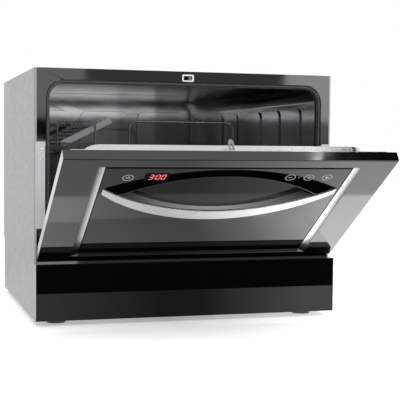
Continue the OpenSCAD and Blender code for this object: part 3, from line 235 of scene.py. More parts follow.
def satin_plastic(name, color, roughness=0.42, grain=0.00003):
    """Moulded plastic with a fine grain."""
    f = Finish(name, color, roughness, IOR=1.47)
    f.tint(f.noise(22, 4), *shades(color, 0.07))
    f.rough(f.noise(60, 3), roughness * 0.85, roughness * 1.15)
    return f.bump(f.noise(2600, 2), grain, 0.5).material


def sheet_steel(name, color, roughness=0.2, along=(1, 40, 1), scale=60):
    """Rolled steel sheet with drawn lines and soft cloudiness."""
    f = Finish(name, color, roughness, 1.0)
    lines = f.noise(scale, 6, along)
    f.tint(f.noise(9, 3), *shades(color, 0.05))
    f.rough(lines, roughness * 0.7, roughness * 1.35)
    return f.bump(lines, 0.00002, 0.3).material


def polished_steel(name, color, roughness=0.1):
    """Bright-rolled steel: near-mirror with slow waves and a few fine rubbing lines."""
    f = Finish(name, color, roughness, 1.0)
    f.tint(f.noise(6, 3), *shades(color, 0.08))
    f.rough(f.noise(14, 4), roughness * 0.75, roughness * 1.4)
    f.bump(f.noise(9, 2), 0.0008, 0.35)
    return f.bump(f.noise(70, 4, (1, 1, 12)), 0.00001, 0.2).material


def satin_silver(name, color, roughness=0.3):
    """Silvered moulding with fine lines along it."""
    f = Finish(name, color, roughness, 0.85)
    f.tint(f.noise(30, 3, (0.3, 4, 4)), *shades(color, 0.03))
    return f.rough(f.noise(400, 3, (0.05, 3, 3)), roughness * 0.85, roughness * 1.15).material


def bevel_painted_highlight(name):
    """Dark silvering beside the glass with a painted highlight: its colour brightens towards the glass and
    dims at its lower end.
    """
    f = Finish(name, (0.3, 0.3, 0.3), 0.24, 0.9)
    near = f.across("X", GLASS_HALF + BEVEL_W, GLASS_HALF, mirrored=True)
    dim_z, bright_z = 136, 153
    high = f.across("Z", dim_z, bright_z)
    # Painted highlight: the colour runs from near black to light grey towards the glass and towards the
    # upper part of the bevel.
    f.tint(f.product(near, high), (0.04, 0.04, 0.042), (0.8, 0.8, 0.8), (0.0, 0.85))
    return f.rough(f.noise(300, 2, (1, 0.1, 0.1)), 0.2, 0.28).material


def lip_painted_highlight(name):
    """Silvered lower wall of the pull recess, with a painted highlight brightest at its middle and painted
    shade at its ends.
    """
    f = Finish(name, (0.3, 0.3, 0.3), 0.4, 0.1)
    dim_x, bright_x = 155, 15
    near = f.across("X", dim_x, bright_x, mirrored=True)
    # Painted highlight and shade: the colour is light grey at the middle and near black towards the ends.
    f.tint(near, (0.06, 0.06, 0.06), (0.4, 0.4, 0.4), (0.05, 1.0))
    return f.rough(f.noise(300, 2, (0.1, 1, 1)), 0.35, 0.45).material


def pull_floor_painted_shade(name):
    """Gloss black of the pull recess with painted shade, black in its deep upper part, and a painted
    reflection, greyer towards its shallow lower edge.
    """
    f = Finish(name, (0.01, 0.01, 0.01), 0.06, IOR=1.36)
    black_z, grey_z = 237, 231
    low = f.across("Z", black_z, grey_z)
    # Painted shade and reflection: near black at the top of the recess, grey towards its lower edge.
    f.tint(low, (0.003, 0.003, 0.003), (0.026, 0.026, 0.027), (0.0, 1.0))
    f.rough(f.noise(38, 4), 0.045, 0.08)
    return f.bump(f.noise(26, 2), 0.00004, 0.25).material


def painted_sheet(name, color, roughness=0.45):
    """Powder-coated sheet with orange peel."""
    f = Finish(name, color, roughness, Specular_IOR_Level=0.25)
    f.tint(f.noise(7, 3), *shades(color, 0.025))
    f.rough(f.noise(90, 3), roughness * 0.85, roughness * 1.2)
    return f.bump(f.noise(900, 2), 0.00005, 0.15).material


def rubber_skin(name, color):
    """Dull rubber with a dusty bloom."""
    f = Finish(name, color, 0.6, IOR=1.5)
    f.tint(f.noise(40, 5), *shades(color, 0.25))
    f.rough(f.noise(120, 3), 0.5, 0.72)
    return f.bump(f.noise(1400, 3), 0.00005, 0.6).material


def heavy_felt(name, color):
    """Heavy sound-deadening felt."""
    f = Finish(name, color, 0.95, Sheen_Weight=0.3)
    f.tint(f.noise(500, 6), *shades(color, 0.4))
    return f.bump(f.noise(700, 6), 0.0008, 0.9).material


def circuit_board(name, color):
    """Solder mask with rows of copper traces."""
    f = Finish(name, color, 0.35)
    f.tint(f.noise(160, 1, (6, 1, 1)), *shades(color, 0.5))
    return f.bump(f.noise(160, 1, (6, 1, 1)), 0.00005, 0.5).material


def lit_segment(name, color, glow):
    """Glowing display segment."""
    f = Finish(name, color, 0.4, Emission_Color=(*color[:3], 1))
    f.links.new(f.spread(f.noise(900, 1), glow * 0.8, glow * 1.2), f.shader.inputs["Emission Strength"])
    return f.material


def flat_print(name, color, roughness=0.55, specular=0.08):
    """Matt screen print."""
    f = Finish(name, color, roughness, Specular_IOR_Level=specular)
    f.tint(f.noise(300, 2), *shades(color, 0.1))
    return f.bump(f.noise(2500, 1), 0.00001, 0.2).material


def make_finishes(looks):
    """Every finish, by the slot that it belongs to."""
    black = tuple(looks.gloss_black)
    no_lines, fine_lines = (1, 1, 1), (1, 25, 25)
    # Each slot's maker, followed by the colour and the other values that it gets after the name.
    recipes = {
        "base_plastic": (satin_plastic, (0.03, 0.031, 0.034), 0.5),
        "rubber": (rubber_skin, (0.018, 0.018, 0.019)),
        "panel_paint": (painted_sheet, tuple(looks.panel_silver)),
        "rear_steel": (painted_sheet, (0.34, 0.35, 0.36), 0.4),
        "gloss_black": (gloss_plastic, black),
        "kick_gloss": (gloss_plastic, black, 0.04),
        "door_black": (gloss_plastic, tuple(looks.door_grey), 0.06, 1.75),
        "door_glass": (gloss_plastic, black, 0.03),
        "bright_steel": (sheet_steel, (0.74, 0.75, 0.76), 0.15, no_lines, 200),
        "zinc_steel": (sheet_steel, (0.5, 0.51, 0.52), 0.32, no_lines, 120),
        "stainless": (polished_steel, tuple(looks.tub_steel), 0.075),
        "liner_steel": (sheet_steel, (0.6, 0.61, 0.62), 0.2, fine_lines),
        "filter_steel": (sheet_steel, (0.6, 0.61, 0.62), 0.25, no_lines, 200),
        "motor_steel": (painted_sheet, (0.3, 0.31, 0.32), 0.4),
        "felt": (heavy_felt, (0.12, 0.11, 0.1)),
        "bezel_plastic": (satin_plastic, (0.56, 0.56, 0.55), 0.3),
        "tongue_plastic": (satin_plastic, (0.16, 0.165, 0.165)),
        "dark_plastic": (satin_plastic, (0.03, 0.031, 0.034)),
        "grey_plastic": (satin_plastic, (0.22, 0.23, 0.24)),
        "pull_plastic": (pull_floor_painted_shade,),
        "silver_trim": (satin_silver, tuple(looks.trim_silver), 0.28),
        "circuit_board": (circuit_board, (0.02, 0.1, 0.045)),
        "white_plastic": (satin_plastic, (0.68, 0.69, 0.69)),
        "lid_plastic": (satin_plastic, (0.55, 0.56, 0.57)),
        "cap_plastic": (satin_plastic, (0.05, 0.052, 0.056)),
        "cap_white": (satin_plastic, (0.75, 0.76, 0.76)),
        "rack_wire": (sheet_steel, tuple(looks.wire_grey), 0.22, no_lines, 300),
        "wheel_plastic": (satin_plastic, (0.3, 0.31, 0.32)),
        "shelf_plastic": (satin_plastic, (0.36, 0.37, 0.38), 0.35),
        "basket_plastic": (satin_plastic, (0.1, 0.105, 0.11), 0.35),
        "arm_plastic": (satin_plastic, (0.34, 0.36, 0.37)),
        "filter_plastic": (satin_plastic, (0.2, 0.21, 0.22)),
        "hose_rubber": (rubber_skin, (0.015, 0.015, 0.016)),
        "clear_plastic": (satin_plastic, (0.66, 0.68, 0.69), 0.2),
    }
    return {slot: make(slot, *values) for slot, (make, *values) in recipes.items()}


FINISHES = {}


def finish_of(slot):
    """The finish of a material slot."""
    if slot not in FINISHES:
        FINISHES.update(make_finishes(bpy.context.scene.dishwasher_looks))
    return FINISHES[slot]


# ---------- pieces ----------


def new_piece(name, mesh, body, slot, material=None):
    """Puts a finished mesh in the scene as a piece that rides on a body."""
    piece = bpy.data.objects.new(name, mesh)
    bpy.context.scene.collection.objects.link(piece)
    mesh.materials.clear()
    mesh.materials.append(material or finish_of(slot))
    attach(piece, body)
    return piece


def merged(node):
    """A node's mesh with its doubles merged and its flat faces made whole, without its old layers."""
    bm = bmesh.new()
    bm.from_mesh(NODES[node].data)
    bmesh.ops.remove_doubles(bm, verts=bm.verts, dist=MERGE_REACH)
    bmesh.ops.dissolve_limit(
        bm, angle_limit=FLAT_ENOUGH, verts=bm.verts, edges=bm.edges, delimit={"NORMAL"}
    )
    for layer in [bm.loops.layers.uv, bm.loops.layers.float_vector]:
        for item in list(layer.values()):
            layer.remove(item)
    crowded = [f for f in bm.faces if len(f.verts) > MOST_CORNERS]
    bmesh.ops.triangulate(bm, faces=crowded)
    return bm


def mark_edges(bm, edge, smooth):
    """Marks the sharp edges, and gives weight to those between faces broad enough to be softened."""
    limit = math.radians(smooth)
    width_of = {f: 2 * f.calc_area() / max(f.calc_perimeter(), 1e-9) for f in bm.faces}
    weight = bm.edges.layers.float.new("bevel_weight_edge")
    for e in bm.edges:
        e.smooth = e.is_manifold and e.calc_face_angle(0) < limit
        broad = all(width_of[f] > BROAD_ENOUGH * edge * MM for f in e.link_faces)
        e[weight] = 1.0 if broad and not e.smooth else 0.0
    for f in bm.faces:
        f.smooth = True
        f.material_index = 0


def dress(node, edge=0.4, smooth=32):
    """A smooth-shaded copy of a node with softened edges, in its finish, in the node's place.

    The edges are softened over a width in millimetres, where faces meet at more than an angle in degrees.
    """
    bm = merged(node)
    mark_edges(bm, edge, smooth)
    piece = new_piece(node + "_finish", mesh_of(bm, node + "_finish"), BODY_OF[node], SLOT_OF[node])
    if edge:
        bevel = piece.modifiers.new("soft_edges", "BEVEL")
        bevel.width = edge * MM
        bevel.segments = 2
        bevel.limit_method = "WEIGHT"
        bevel.use_clamp_overlap = True
        even = piece.modifiers.new("even_faces", "WEIGHTED_NORMAL")
        even.weight = 100
        even.keep_sharp = True
    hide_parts(node)


def dress_all(nodes, edge=0.4, smooth=32):
    """Dresses several nodes in the same way."""
    for node in nodes:
        dress(node, edge, smooth)


def mesh_of(bm, name):
    """The finished mesh of a bmesh, which is freed."""
    mesh = bpy.data.meshes.new(name)
    bm.to_mesh(mesh)
    bm.free()
    return mesh


def outline_sheet(name, loops, place, body, slot, material, thickness):
    """A thin printed or raised sheet from closed outlines, with its place given by a function."""
    bm = bmesh.new()
    for loop in loops:
        low = [bm.verts.new(place(u, v, 0)) for u, v in loop]
        high = [bm.verts.new(place(u, v, thickness)) for u, v in loop]
        bm.faces.new(low)
        bm.faces.new(list(reversed(high)))
        for i in range(len(loop)):
            j = (i + 1) % len(loop)
            bm.faces.new([low[j], low[i], high[i], high[j]])
    bmesh.ops.recalc_face_normals(bm, faces=bm.faces)
    new_piece(name, mesh_of(bm, name), body, slot, material)


def glass_sheet(name, loops, height, material, thickness):
    """A printed sheet on the glass, at a height above its face in millimetres."""
    outline_sheet(
        name, loops, lambda u, v, out: on_glass(u, v, height + out), "door", "door_glass", material,
        thickness,
    )


def on_glass(u, v, out):
    """A point in front of the face of the glass panel."""
    return on_door(u, GLASS_FACE_Y - out, v)


def on_shell(u, v, out):
    """A point in front of the outer face of the door shell."""
    return on_door(u, SHELL_FACE_Y - out, v)


def on_bevel(u, v, out):
    """A point on the slope between the shell's face and the glass, at the left and the right."""
    rise = (abs(u) - GLASS_HALF) / BEVEL_W
    return on_door(u, GLASS_FACE_Y + (SHELL_FACE_Y - GLASS_FACE_Y) * rise - out, v)


def on_end_bevel(u, v, out):
    """A point just off the bevels above and below the glass."""
    beyond = max(v - GLASS_Z1, GLASS_Z0 - v, 0)
    return on_door(u, GLASS_FACE_Y - beyond * END_BEVEL_FALL - out - LIFT, v)


def box_loop(x0, x1, v0, v1):
    """An upright rectangle."""
    return [(x0, v0), (x1, v0), (x1, v1), (x0, v1)]


def round_loop(x0, x1, v0, v1, radius, steps=6):
    """An upright rectangle with round corners."""
    left, right, low, high = x0 + radius, x1 - radius, v0 + radius, v1 - radius
    loop = []
    for k, (cx, cy) in enumerate([(right, high), (left, high), (left, low), (right, low)]):
        for i in range(steps + 1):
            turn = math.radians(90) * (k + i / steps)
            loop.append((cx + radius * math.cos(turn), cy + radius * math.sin(turn)))
    return loop


def ring(cx, cy, radius, width, count=28, start=0.0, sweep=2 * math.pi):
    """Quads round a ring or a part of one."""
    quads = []
    for i in range(count):
        a, b = start + sweep * i / count, start + sweep * (i + 1) / count
        corners = [(a, radius - width), (b, radius - width), (b, radius), (a, radius)]
        quads.append([(cx + r * math.cos(t), cy + r * math.sin(t)) for t, r in corners])
    return quads


def bar(x0, y0, x1, y1, width):
    """A straight stroke between two points."""
    along = Vector((x1 - x0, y1 - y0)).normalized() * width / 2
    side = Vector((-along.y, along.x))
    return [
        (x0 + side.x, y0 + side.y), (x1 + side.x, y1 + side.y),
        (x1 - side.x, y1 - side.y), (x0 - side.x, y0 - side.y),
    ]


def arc_height(x, peak, half, base):
    """Height at x of a circular arc through (-half, base), (0, peak) and (half, base)."""
    rise = peak - base
    radius = (half * half + rise * rise) / (2 * abs(rise))
    drop = radius - math.sqrt(max(radius * radius - x * x, 0))
    return peak - math.copysign(drop, rise)


# ---------- repeated hardware, made by geometry nodes ----------


def stud_tree():
    """Geometry nodes that put a small round stud on every point of the mesh that they are given."""
    tree = bpy.data.node_groups.new("studs", "GeometryNodeTree")
    face = tree.interface
    face.new_socket("Geometry", in_out="INPUT", socket_type="NodeSocketGeometry")
    for label, value in [("Radius", 0.001), ("Flatness", 1.0)]:
        socket = face.new_socket(label, in_out="INPUT", socket_type="NodeSocketFloat")
        socket.default_value = value
    face.new_socket("Material", in_out="INPUT", socket_type="NodeSocketMaterial")
    face.new_socket("Geometry", in_out="OUTPUT", socket_type="NodeSocketGeometry")
    nodes, links = tree.nodes, tree.links
    given, made = nodes.new("NodeGroupInput"), nodes.new("NodeGroupOutput")
    ball = nodes.new("GeometryNodeMeshIcoSphere")
    ball.inputs["Subdivisions"].default_value = 2
    size = nodes.new("ShaderNodeCombineXYZ")
    normal = nodes.new("GeometryNodeInputNormal")
    turn = nodes.new("FunctionNodeAlignRotationToVector")
    turn.axis = "Z"
    put = nodes.new("GeometryNodeInstanceOnPoints")
    real = nodes.new("GeometryNodeRealizeInstances")
    coat = nodes.new("GeometryNodeSetMaterial")
    smooth = nodes.new("GeometryNodeSetShadeSmooth")
    links.new(given.outputs["Radius"], ball.inputs["Radius"])
    links.new(given.outputs["Flatness"], size.inputs["Z"])
    size.inputs["X"].default_value = 1
    size.inputs["Y"].default_value = 1
    links.new(normal.outputs["Normal"], turn.inputs["Vector"])
    links.new(given.outputs["Geometry"], put.inputs["Points"])
    links.new(ball.outputs["Mesh"], put.inputs["Instance"])
    links.new(turn.outputs["Rotation"], put.inputs["Rotation"])
    links.new(size.outputs["Vector"], put.inputs["Scale"])
    links.new(put.outputs["Instances"], smooth.inputs["Geometry"])
    links.new(smooth.outputs["Geometry"], real.inputs["Geometry"])
    links.new(real.outputs["Geometry"], coat.inputs["Geometry"])
    links.new(given.outputs["Material"], coat.inputs["Material"])
    links.new(coat.outputs["Geometry"], made.inputs["Geometry"])
    return tree


def studs(name, places, facing, radius, flatness, body, slot):
    """Round studs at given places, in millimetres, all facing one way."""
    speck = 1e-5
    facing = Vector(facing).normalized()
    side = facing.orthogonal().normalized() * speck
    other = facing.cross(side)
    carrier = bpy.data.meshes.new(name + "_places")
    points, faces = [], []
    for place in places:
        at = Vector(place) * MM
        first = len(points)
        points += [at, at + side, at + other]
        faces.append((first, first + 1, first + 2))
    carrier.from_pydata(points, [], faces)
    holder = bpy.data.objects.new(name + "_holder", carrier)
    bpy.context.scene.collection.objects.link(holder)
    tree = bpy.data.node_groups.get("studs") or stud_tree()
    spread = holder.modifiers.new("studs", "NODES")
    spread.node_group = tree
    keys = {item.name: item.identifier for item in tree.interface.items_tree if item.in_out == "INPUT"}
    spread[keys["Radius"]] = radius * MM
    spread[keys["Flatness"]] = flatness
    spread[keys["Material"]] = finish_of(slot)
    graph = bpy.context.evaluated_depsgraph_get()
    mesh = bpy.data.meshes.new_from_object(holder.evaluated_get(graph), depsgraph=graph)
    bpy.data.objects.remove(holder)
    return new_piece(name, mesh, body, slot)


# ---------- sizes and colours ----------


def colour(name, description, default):
    """A colour setting."""
    return bpy.props.FloatVectorProperty(
        name=name, description=description, subtype="COLOR", default=default, min=0, max=1
    )


class DishwasherLooks(bpy.types.PropertyGroup):
    """Colours and small sizes of the dressing."""

    gloss_black: colour("Gloss black", "Frame, kick panel and door", (0.0015, 0.0015, 0.0017))
    door_grey: colour("Door grey", "Lacquered border of the door", (0.002, 0.002, 0.0022))
    panel_silver: colour("Panel silver", "Painted side and top panels", (0.25, 0.256, 0.26))
    tub_steel: colour("Tub steel", "Inside of the tub", (0.44, 0.448, 0.455))
    trim_silver: colour("Trim silver", "Crescent trim under the pull recess", (0.64, 0.64, 0.64))
    wire_grey: colour("Wire grey", "Coated rack wire", (0.36, 0.37, 0.38))
    display_red: colour("Display red", "Lit display segments", (0.9, 0.16, 0.17))
    display_glow: bpy.props.FloatProperty(
        name="Display glow", description="Strength of the lit segments", default=0.9, min=0,
    )
    print_thickness: bpy.props.FloatProperty(
        name="Print thickness", description="Height of printed marks, in millimetres", default=0.06,
    )
    key_light: bpy.props.FloatProperty(
        name="Key light", description="Power of the soft light at the right", default=26, unit="POWER",
    )


class DISHWASHER_OT_cabinet(bpy.types.Operator):
    """Dresses the painted panels, the base tray, the feet and the screws"""

    bl_idname = "dishwasher.cabinet"
    bl_label = "Cabinet"

    def execute(self, context):
        dress_all(["left_side_panel", "right_side_panel", "top_panel", "rear_panel"], 0.3)
        dress("base_tray", 0.4)
        dress("feet", 0.8)
        dress_all(["frame_screws", "rear_screws"], 0.15)
        return {"FINISHED"}


class DISHWASHER_OT_front(bpy.types.Operator):
    """Dresses the gloss front frame, the kick panel, the gasket and the latch"""

    bl_idname = "dishwasher.front"
    bl_label = "Front frame"

    def execute(self, context):
        dress("front_frame", 0.7)
        dress("kick_panel", 1.0)
        dress("tub_gasket", 0.6, 40)
        dress_all(["latch_bezel", "latch_catch", "latch_box", "hinge_brackets"], 0.2)
        dress("hinge_pins", 0.3)
        self.flange_plates()
        return {"FINISHED"}

    def flange_plates(self):
        """Light cover plates on the frame beside the tub's mouth, under the heads of the frame screws."""
        low, high, inner, outer, corner, thick = 168.0, 318.0, 256.4, 273.2, 2.5, 0.35
        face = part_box("front_frame")[0][1] / MM - LIFT
        loops = [
            round_loop(-outer, -inner, low, high, corner),
            round_loop(inner, outer, low, high, corner),
        ]
        outline_sheet(
            "flange_plates", loops, lambda u, v, out: Vector((u, face - out, v)) * MM, "cabinet",
            "white_plastic", satin_plastic("plate_grey", (0.37, 0.375, 0.38), 0.45), thick,
        )


class DISHWASHER_OT_tub(bpy.types.Operator):
    """Dresses the stainless tub and its sound-deadening blanket"""

    bl_idname = "dishwasher.tub"
    bl_label = "Tub"

    def execute(self, context):
        dress("tub", 0.35)
        dress("tub_blanket", 0)
        return {"FINISHED"}


class DISHWASHER_OT_door_face(bpy.types.Operator):
    """Dresses the door shell, the glass, the pull recess and the crescent trim"""

    bl_idname = "dishwasher.door_face"
    bl_label = "Door face"

    def execute(self, context):
        dress("door_shell", 0.8, 8)
        dress("door_glass", 0.35)
        dress("handle_cup", 0.3, 6)
        dress("handle_trim", 0.5)
        dress("display_board", 0)
        dress("door_hinge_arms", 0.2)
        return {"FINISHED"}


class DISHWASHER_OT_printed_band(bpy.types.Operator):
    """Prints the black eye-shaped band round the pull recess"""

    bl_idname = "dishwasher.printed_band"
    bl_label = "Printed band"

    columns: bpy.props.IntProperty(name="Columns", description="Steps along the band", default=64, min=8)

    def execute(self, context):
        half, peak, tip = 195.0, 409.0, 353.5
        hole_half, hole_top, hole_tip = 168.0, 388.6, 332.0
        gap, least = 0.3, 0.1
        edges = []
        for i in range(self.columns + 1):
            x = -half + 2 * half * i / self.columns
            inner = arc_height(x, PULL_BOTTOM, half, tip - 1)
            if abs(x) < hole_half:
                inner = max(inner, arc_height(x, hole_top, hole_half, hole_tip))
            low = inner + gap
            edges.append((x, low, max(arc_height(x, peak, half, tip), low + least)))
        loops = [
            [(xa, low_a), (xb, low_b), (xb, high_b), (xa, high_a)]
            for (xa, low_a, high_a), (xb, low_b, high_b) in zip(edges, edges[1:])
        ]
        black = flat_print("black_print", (0.0008, 0.0008, 0.0009), 0.6, 0.0)
        glass_sheet("printed_band", loops, 0, black, context.scene.dishwasher_looks.print_thickness)
        return {"FINISHED"}


class DISHWASHER_OT_door_lines(bpy.types.Operator):
    """Lays the seams round the glass, the bevels beside it and the lip of the pull recess, both coloured
    with a painted highlight
    """

    bl_idname = "dishwasher.door_lines"
    bl_label = "Door lines"

    seam: bpy.props.FloatProperty(
        name="Seam", description="Width of the upper seam, in millimetres", default=3.4, min=0,
    )

    def execute(self, context):
        looks = context.scene.dishwasher_looks
        dull = flat_print("seam_black", (0.001, 0.001, 0.001), 0.7, 0.0)
        self.glass_seam(dull, looks.print_thickness * 2)
        inset, seam = 1.0, 1.6
        edge = box_loop(-DOOR_HALF + inset, DOOR_HALF - inset, DOOR_Z1 - inset - seam, DOOR_Z1 - inset)
        outline_sheet("door_edge_seam", [edge], on_shell, "door", "door_black", dull, looks.print_thickness)
        self.side_bevels()
        self.end_bevels()
        self.pull_lip()
        return {"FINISHED"}

    def glass_seam(self, material, thickness):
        """Dark gap between the glass and its border, widest above the glass."""
        thin_share = 0.35
        thin = self.seam * thin_share
        loops = [
            box_loop(-GLASS_HALF, GLASS_HALF, GLASS_Z1 - self.seam, GLASS_Z1),
            box_loop(-GLASS_HALF, -GLASS_HALF + thin, GLASS_Z0, GLASS_Z1 - self.seam),
            box_loop(GLASS_HALF - thin, GLASS_HALF, GLASS_Z0, GLASS_Z1 - self.seam),
        ]
        glass_sheet("glass_seam", loops, 0, material, thickness)

    def side_bevels(self):
        """Silvered strips on the bevels at the left and the right of the glass, whose colour is a painted
        highlight.
        """
        inset, start, below, above = 0.6, 0.5, 8.1, 5.4
        slopes = []
        for side in (-1, 1):
            inner, outer = side * (GLASS_HALF + inset), side * (GLASS_HALF + BEVEL_W - inset)
            slopes.append([
                (inner, GLASS_Z0 + start), (outer, GLASS_Z0 - below),
                (outer, GLASS_Z1 + above), (inner, GLASS_Z1),
            ])
        # The strips' colour is a painted highlight, brightest next to the glass.
        silver = bevel_painted_highlight("bevel_painted_highlight")
        outline_sheet("bevel_strips", slopes, on_bevel, "door", "door_black", silver, STRIP)

    def end_bevels(self):
        """Dark strips on the bevels above and below the glass."""
        dark = gloss_plastic("bevel_dark", (0.004, 0.004, 0.004), 0.3, 1.2)
        ends = [
            box_loop(-GLASS_HALF, GLASS_HALF, GLASS_Z1, GLASS_Z1 + END_BEVEL_W),
            box_loop(-GLASS_HALF, GLASS_HALF, GLASS_Z0 - END_BEVEL_W, GLASS_Z0),
        ]
        outline_sheet("bevel_ends", ends, on_end_bevel, "door", "door_black", dark, STRIP)

    def pull_lip(self):
        """Silvered strip on the lower wall of the pull recess, which faces up; its colour is a painted
        highlight, brightest at its middle.
        """
        reach, taper, steps = 0.565, 0.06, 56
        front, least, thick, gap, floor_gap = 0.2, 0.3, 0.15, 0.05, 0.1
        centre, radius = PULL_BOTTOM + PULL_ARC, PULL_ARC - CUP_WALL - gap
        bm = bmesh.new()
        rows = []
        for i in range(steps + 1):
            turn = -reach + 2 * reach * i / steps
            height = centre - radius * math.cos(turn)
            floor = CUP_LOW + CUP_SLOPE * (height - CUP_LOW_Z) - floor_gap
            depth = max(least, floor * min(1, (reach - abs(turn)) / taper))
            row = []
            for out, y in ((0, front), (0, depth), (thick, depth), (thick, front)):
                u = (radius - out) * math.sin(turn)
                v = centre - (radius - out) * math.cos(turn)
                row.append(bm.verts.new(on_door(u, GLASS_FACE_Y + y, v)))
            rows.append(row)
        for here, there in zip(rows, rows[1:]):
            for k in range(4):
                j = (k + 1) % 4
                bm.faces.new([here[k], there[k], there[j], here[j]])
        bm.faces.new(rows[0])
        bm.faces.new(list(reversed(rows[-1])))
        bmesh.ops.recalc_face_normals(bm, faces=bm.faces)
        new_piece("pull_lip", mesh_of(bm, "pull_lip"), "door", "silver_trim", lip_painted_highlight("lip_silver_painted_highlight"))


# The strokes of a figure, from corner to corner of a unit square.
STROKES = {
    "top": (0, 1, 1, 1), "middle": (0, 0.5, 1, 0.5), "bottom": (0, 0, 1, 0),
    "high_left": (0, 0.5, 0, 1), "low_left": (0, 0, 0, 0.5),
    "high_right": (1, 0.5, 1, 1), "low_right": (1, 0, 1, 0.5),
}
# The strokes that each figure has.
FIGURES = {
    "3": ["top", "middle", "bottom", "high_right", "low_right"],
    "0": ["top", "bottom", "high_left", "low_left", "high_right", "low_right"],
}


class DISHWASHER_OT_display(bpy.types.Operator):
    """Draws the lit figures and the printed touch marks on the glass"""

    bl_idname = "dishwasher.display"
    bl_label = "Display"

    def execute(self, context):
        looks = context.scene.dishwasher_looks
        red = lit_segment("lit_red", tuple(looks.display_red), looks.display_glow)
        smoked = flat_print("smoked_red", (0.007, 0.0004, 0.0006), 0.5, 0.02)
        window = [box_loop(-137, -98, 375.5, 398.5)]
        film, ink, raised = 0.02, 0.05, looks.print_thickness * 1.5
        glass_sheet("display_window", window, looks.print_thickness, smoked, film)
        glass_sheet("display_figures", self.figures("300", (-130.5, -119.5, -110.5)), raised, red, ink)
        grey = flat_print("grey_print", (0.42, 0.42, 0.42))
        glass_sheet("touch_marks", self.touch_marks(), raised, grey, ink)
        return {"FINISHED"}

    def figures(self, text, lefts):
        """Strokes of the leaning figures at given places, with the two dots after the first of them."""
        width, height, stroke, lean, gap = 5.4, 13.0, 1.25, 0.16, 0.12
        base, dot_x, dot_size = 380.5, -122.4, 1.2
        loops = []

        def leaning(x, y):
            return Vector((x + y * lean, base + y))

        for left, figure in zip(lefts, text):
            for name in FIGURES[figure]:
                x0, y0, x1, y1 = STROKES[name]
                start = leaning(left + x0 * width, y0 * height)
                end = leaning(left + x1 * width, y1 * height)
                loops.append(bar(*start.lerp(end, gap), *end.lerp(start, gap), stroke))
        for y in (3.6, 9.2):
            x, v = leaning(dot_x, y)
            loops.append(bar(x - dot_size / 2, v, x + dot_size / 2, v, dot_size))
        return loops

    def touch_marks(self):
        """Rings of the four touch pads, with a power sign, a minus, a plus, an arrow and a small dash."""
        power_x, minus_x, dash_x, plus_x, start_x = -163, 104, 119, 136, 168
        power_v, mark_v, reach, stroke, ring_r, ring_w = 385, 386, 3.5, 1.1, 8.6, 1.0
        marks = []
        for x, v in [(power_x, power_v), (minus_x, mark_v), (plus_x, mark_v), (start_x, mark_v)]:
            marks += ring(x, v, ring_r, ring_w)
        marks.append(bar(power_x, power_v, power_x, power_v + 4, 0.9))
        marks += ring(power_x, power_v, 3.2, 0.8, 18, math.radians(125), math.radians(290))
        for x in (minus_x, plus_x):
            marks.append(bar(x - reach, mark_v, x + reach, mark_v, stroke))
        marks.append(bar(plus_x, mark_v - reach, plus_x, mark_v + reach, stroke))
        tail_x, tip_x, half = start_x - 2.2, start_x + 4.2, 3.8
        marks.append([(tail_x, mark_v - half), (tip_x, mark_v), (tail_x, mark_v + half)])
        marks.append(bar(dash_x - 1, mark_v, dash_x + 1, mark_v, 2.0))
        return marks


class DISHWASHER_OT_door_liner(bpy.types.Operator):
    """Dresses the inner side of the door with its dispenser and its tongue"""

    bl_idname = "dishwasher.door_liner"
    bl_label = "Door liner"

    def execute(self, context):
        dress("door_liner", 0.4)
        dress("latch_tongue", 0.25)
        dress_all(["dispenser_body", "dispenser_lid"], 0.5)
        dress("rinse_aid_cap", 0.5, 40)
        return {"FINISHED"}


class DISHWASHER_OT_rack(bpy.types.Operator):
    """Dresses the wire rack, its wheels and the cup shelf"""

    bl_idname = "dishwasher.rack"
    bl_label = "Rack"

    def execute(self, context):
        dress("lower_rack", 0, 50)
        dress("rack_axles", 0.3)
        dress_all(["front_wheels", "rear_wheels"], 0.5, 40)
        dress("cup_shelf", 0.3)
        first_x, pitch, per_row, row_y, top_z, radius = -110, 25, 9, 75, 262, 2.1
        tips = [(first_x + pitch * i, y, top_z) for i in range(per_row) for y in (-row_y, row_y)]
        studs("tine_tips", tips, (0, 0, 1), radius, 1.0, "rack", "rack_wire")
        return {"FINISHED"}


class DISHWASHER_OT_basket(bpy.types.Operator):
    """Dresses the cutlery basket"""

    bl_idname = "dishwasher.basket"
    bl_label = "Cutlery basket"

    def execute(self, context):
        dress("cutlery_basket", 0.3)
        return {"FINISHED"}


class DISHWASHER_OT_spray_arm(bpy.types.Operator):
    """Dresses the spray arm and its hub"""

    bl_idname = "dishwasher.spray_arm"
    bl_label = "Spray arm"

    def execute(self, context):
        dress("spray_arm", 0.6)
        dress("spray_hub", 0.4, 40)
        return {"FINISHED"}


class DISHWASHER_OT_filters(bpy.types.Operator):
    """Dresses the sump, the filter plate, the filter cylinder and the salt cap"""

    bl_idname = "dishwasher.filters"
    bl_label = "Filters"

    def execute(self, context):
        dress_all(["sump", "filter_plate", "filter_cylinder", "salt_cap"], 0.3, 40)
        return {"FINISHED"}


class DISHWASHER_OT_machinery(bpy.types.Operator):
    """Dresses the pumps, the heater, the hoses and the other parts under and beside the tub"""

    bl_idname = "dishwasher.machinery"
    bl_label = "Machinery"

    def execute(self, context):
        dress_all(["softener_tank", "wash_pump", "pump_motor", "drain_pump"], 0.4, 40)
        dress_all(["heater", "water_pipes", "air_break", "control_module"], 0.4, 40)
        return {"FINISHED"}


class DISHWASHER_OT_connections(bpy.types.Operator):
    """Dresses the water inlet, the drain spigot and the cord gland"""

    bl_idname = "dishwasher.connections"
    bl_label = "Connections"

    def execute(self, context):
        dress_all(["inlet_valve", "drain_outlet", "cord_gland"], 0.4, 40)
        return {"FINISHED"}


# ---------- studio ----------

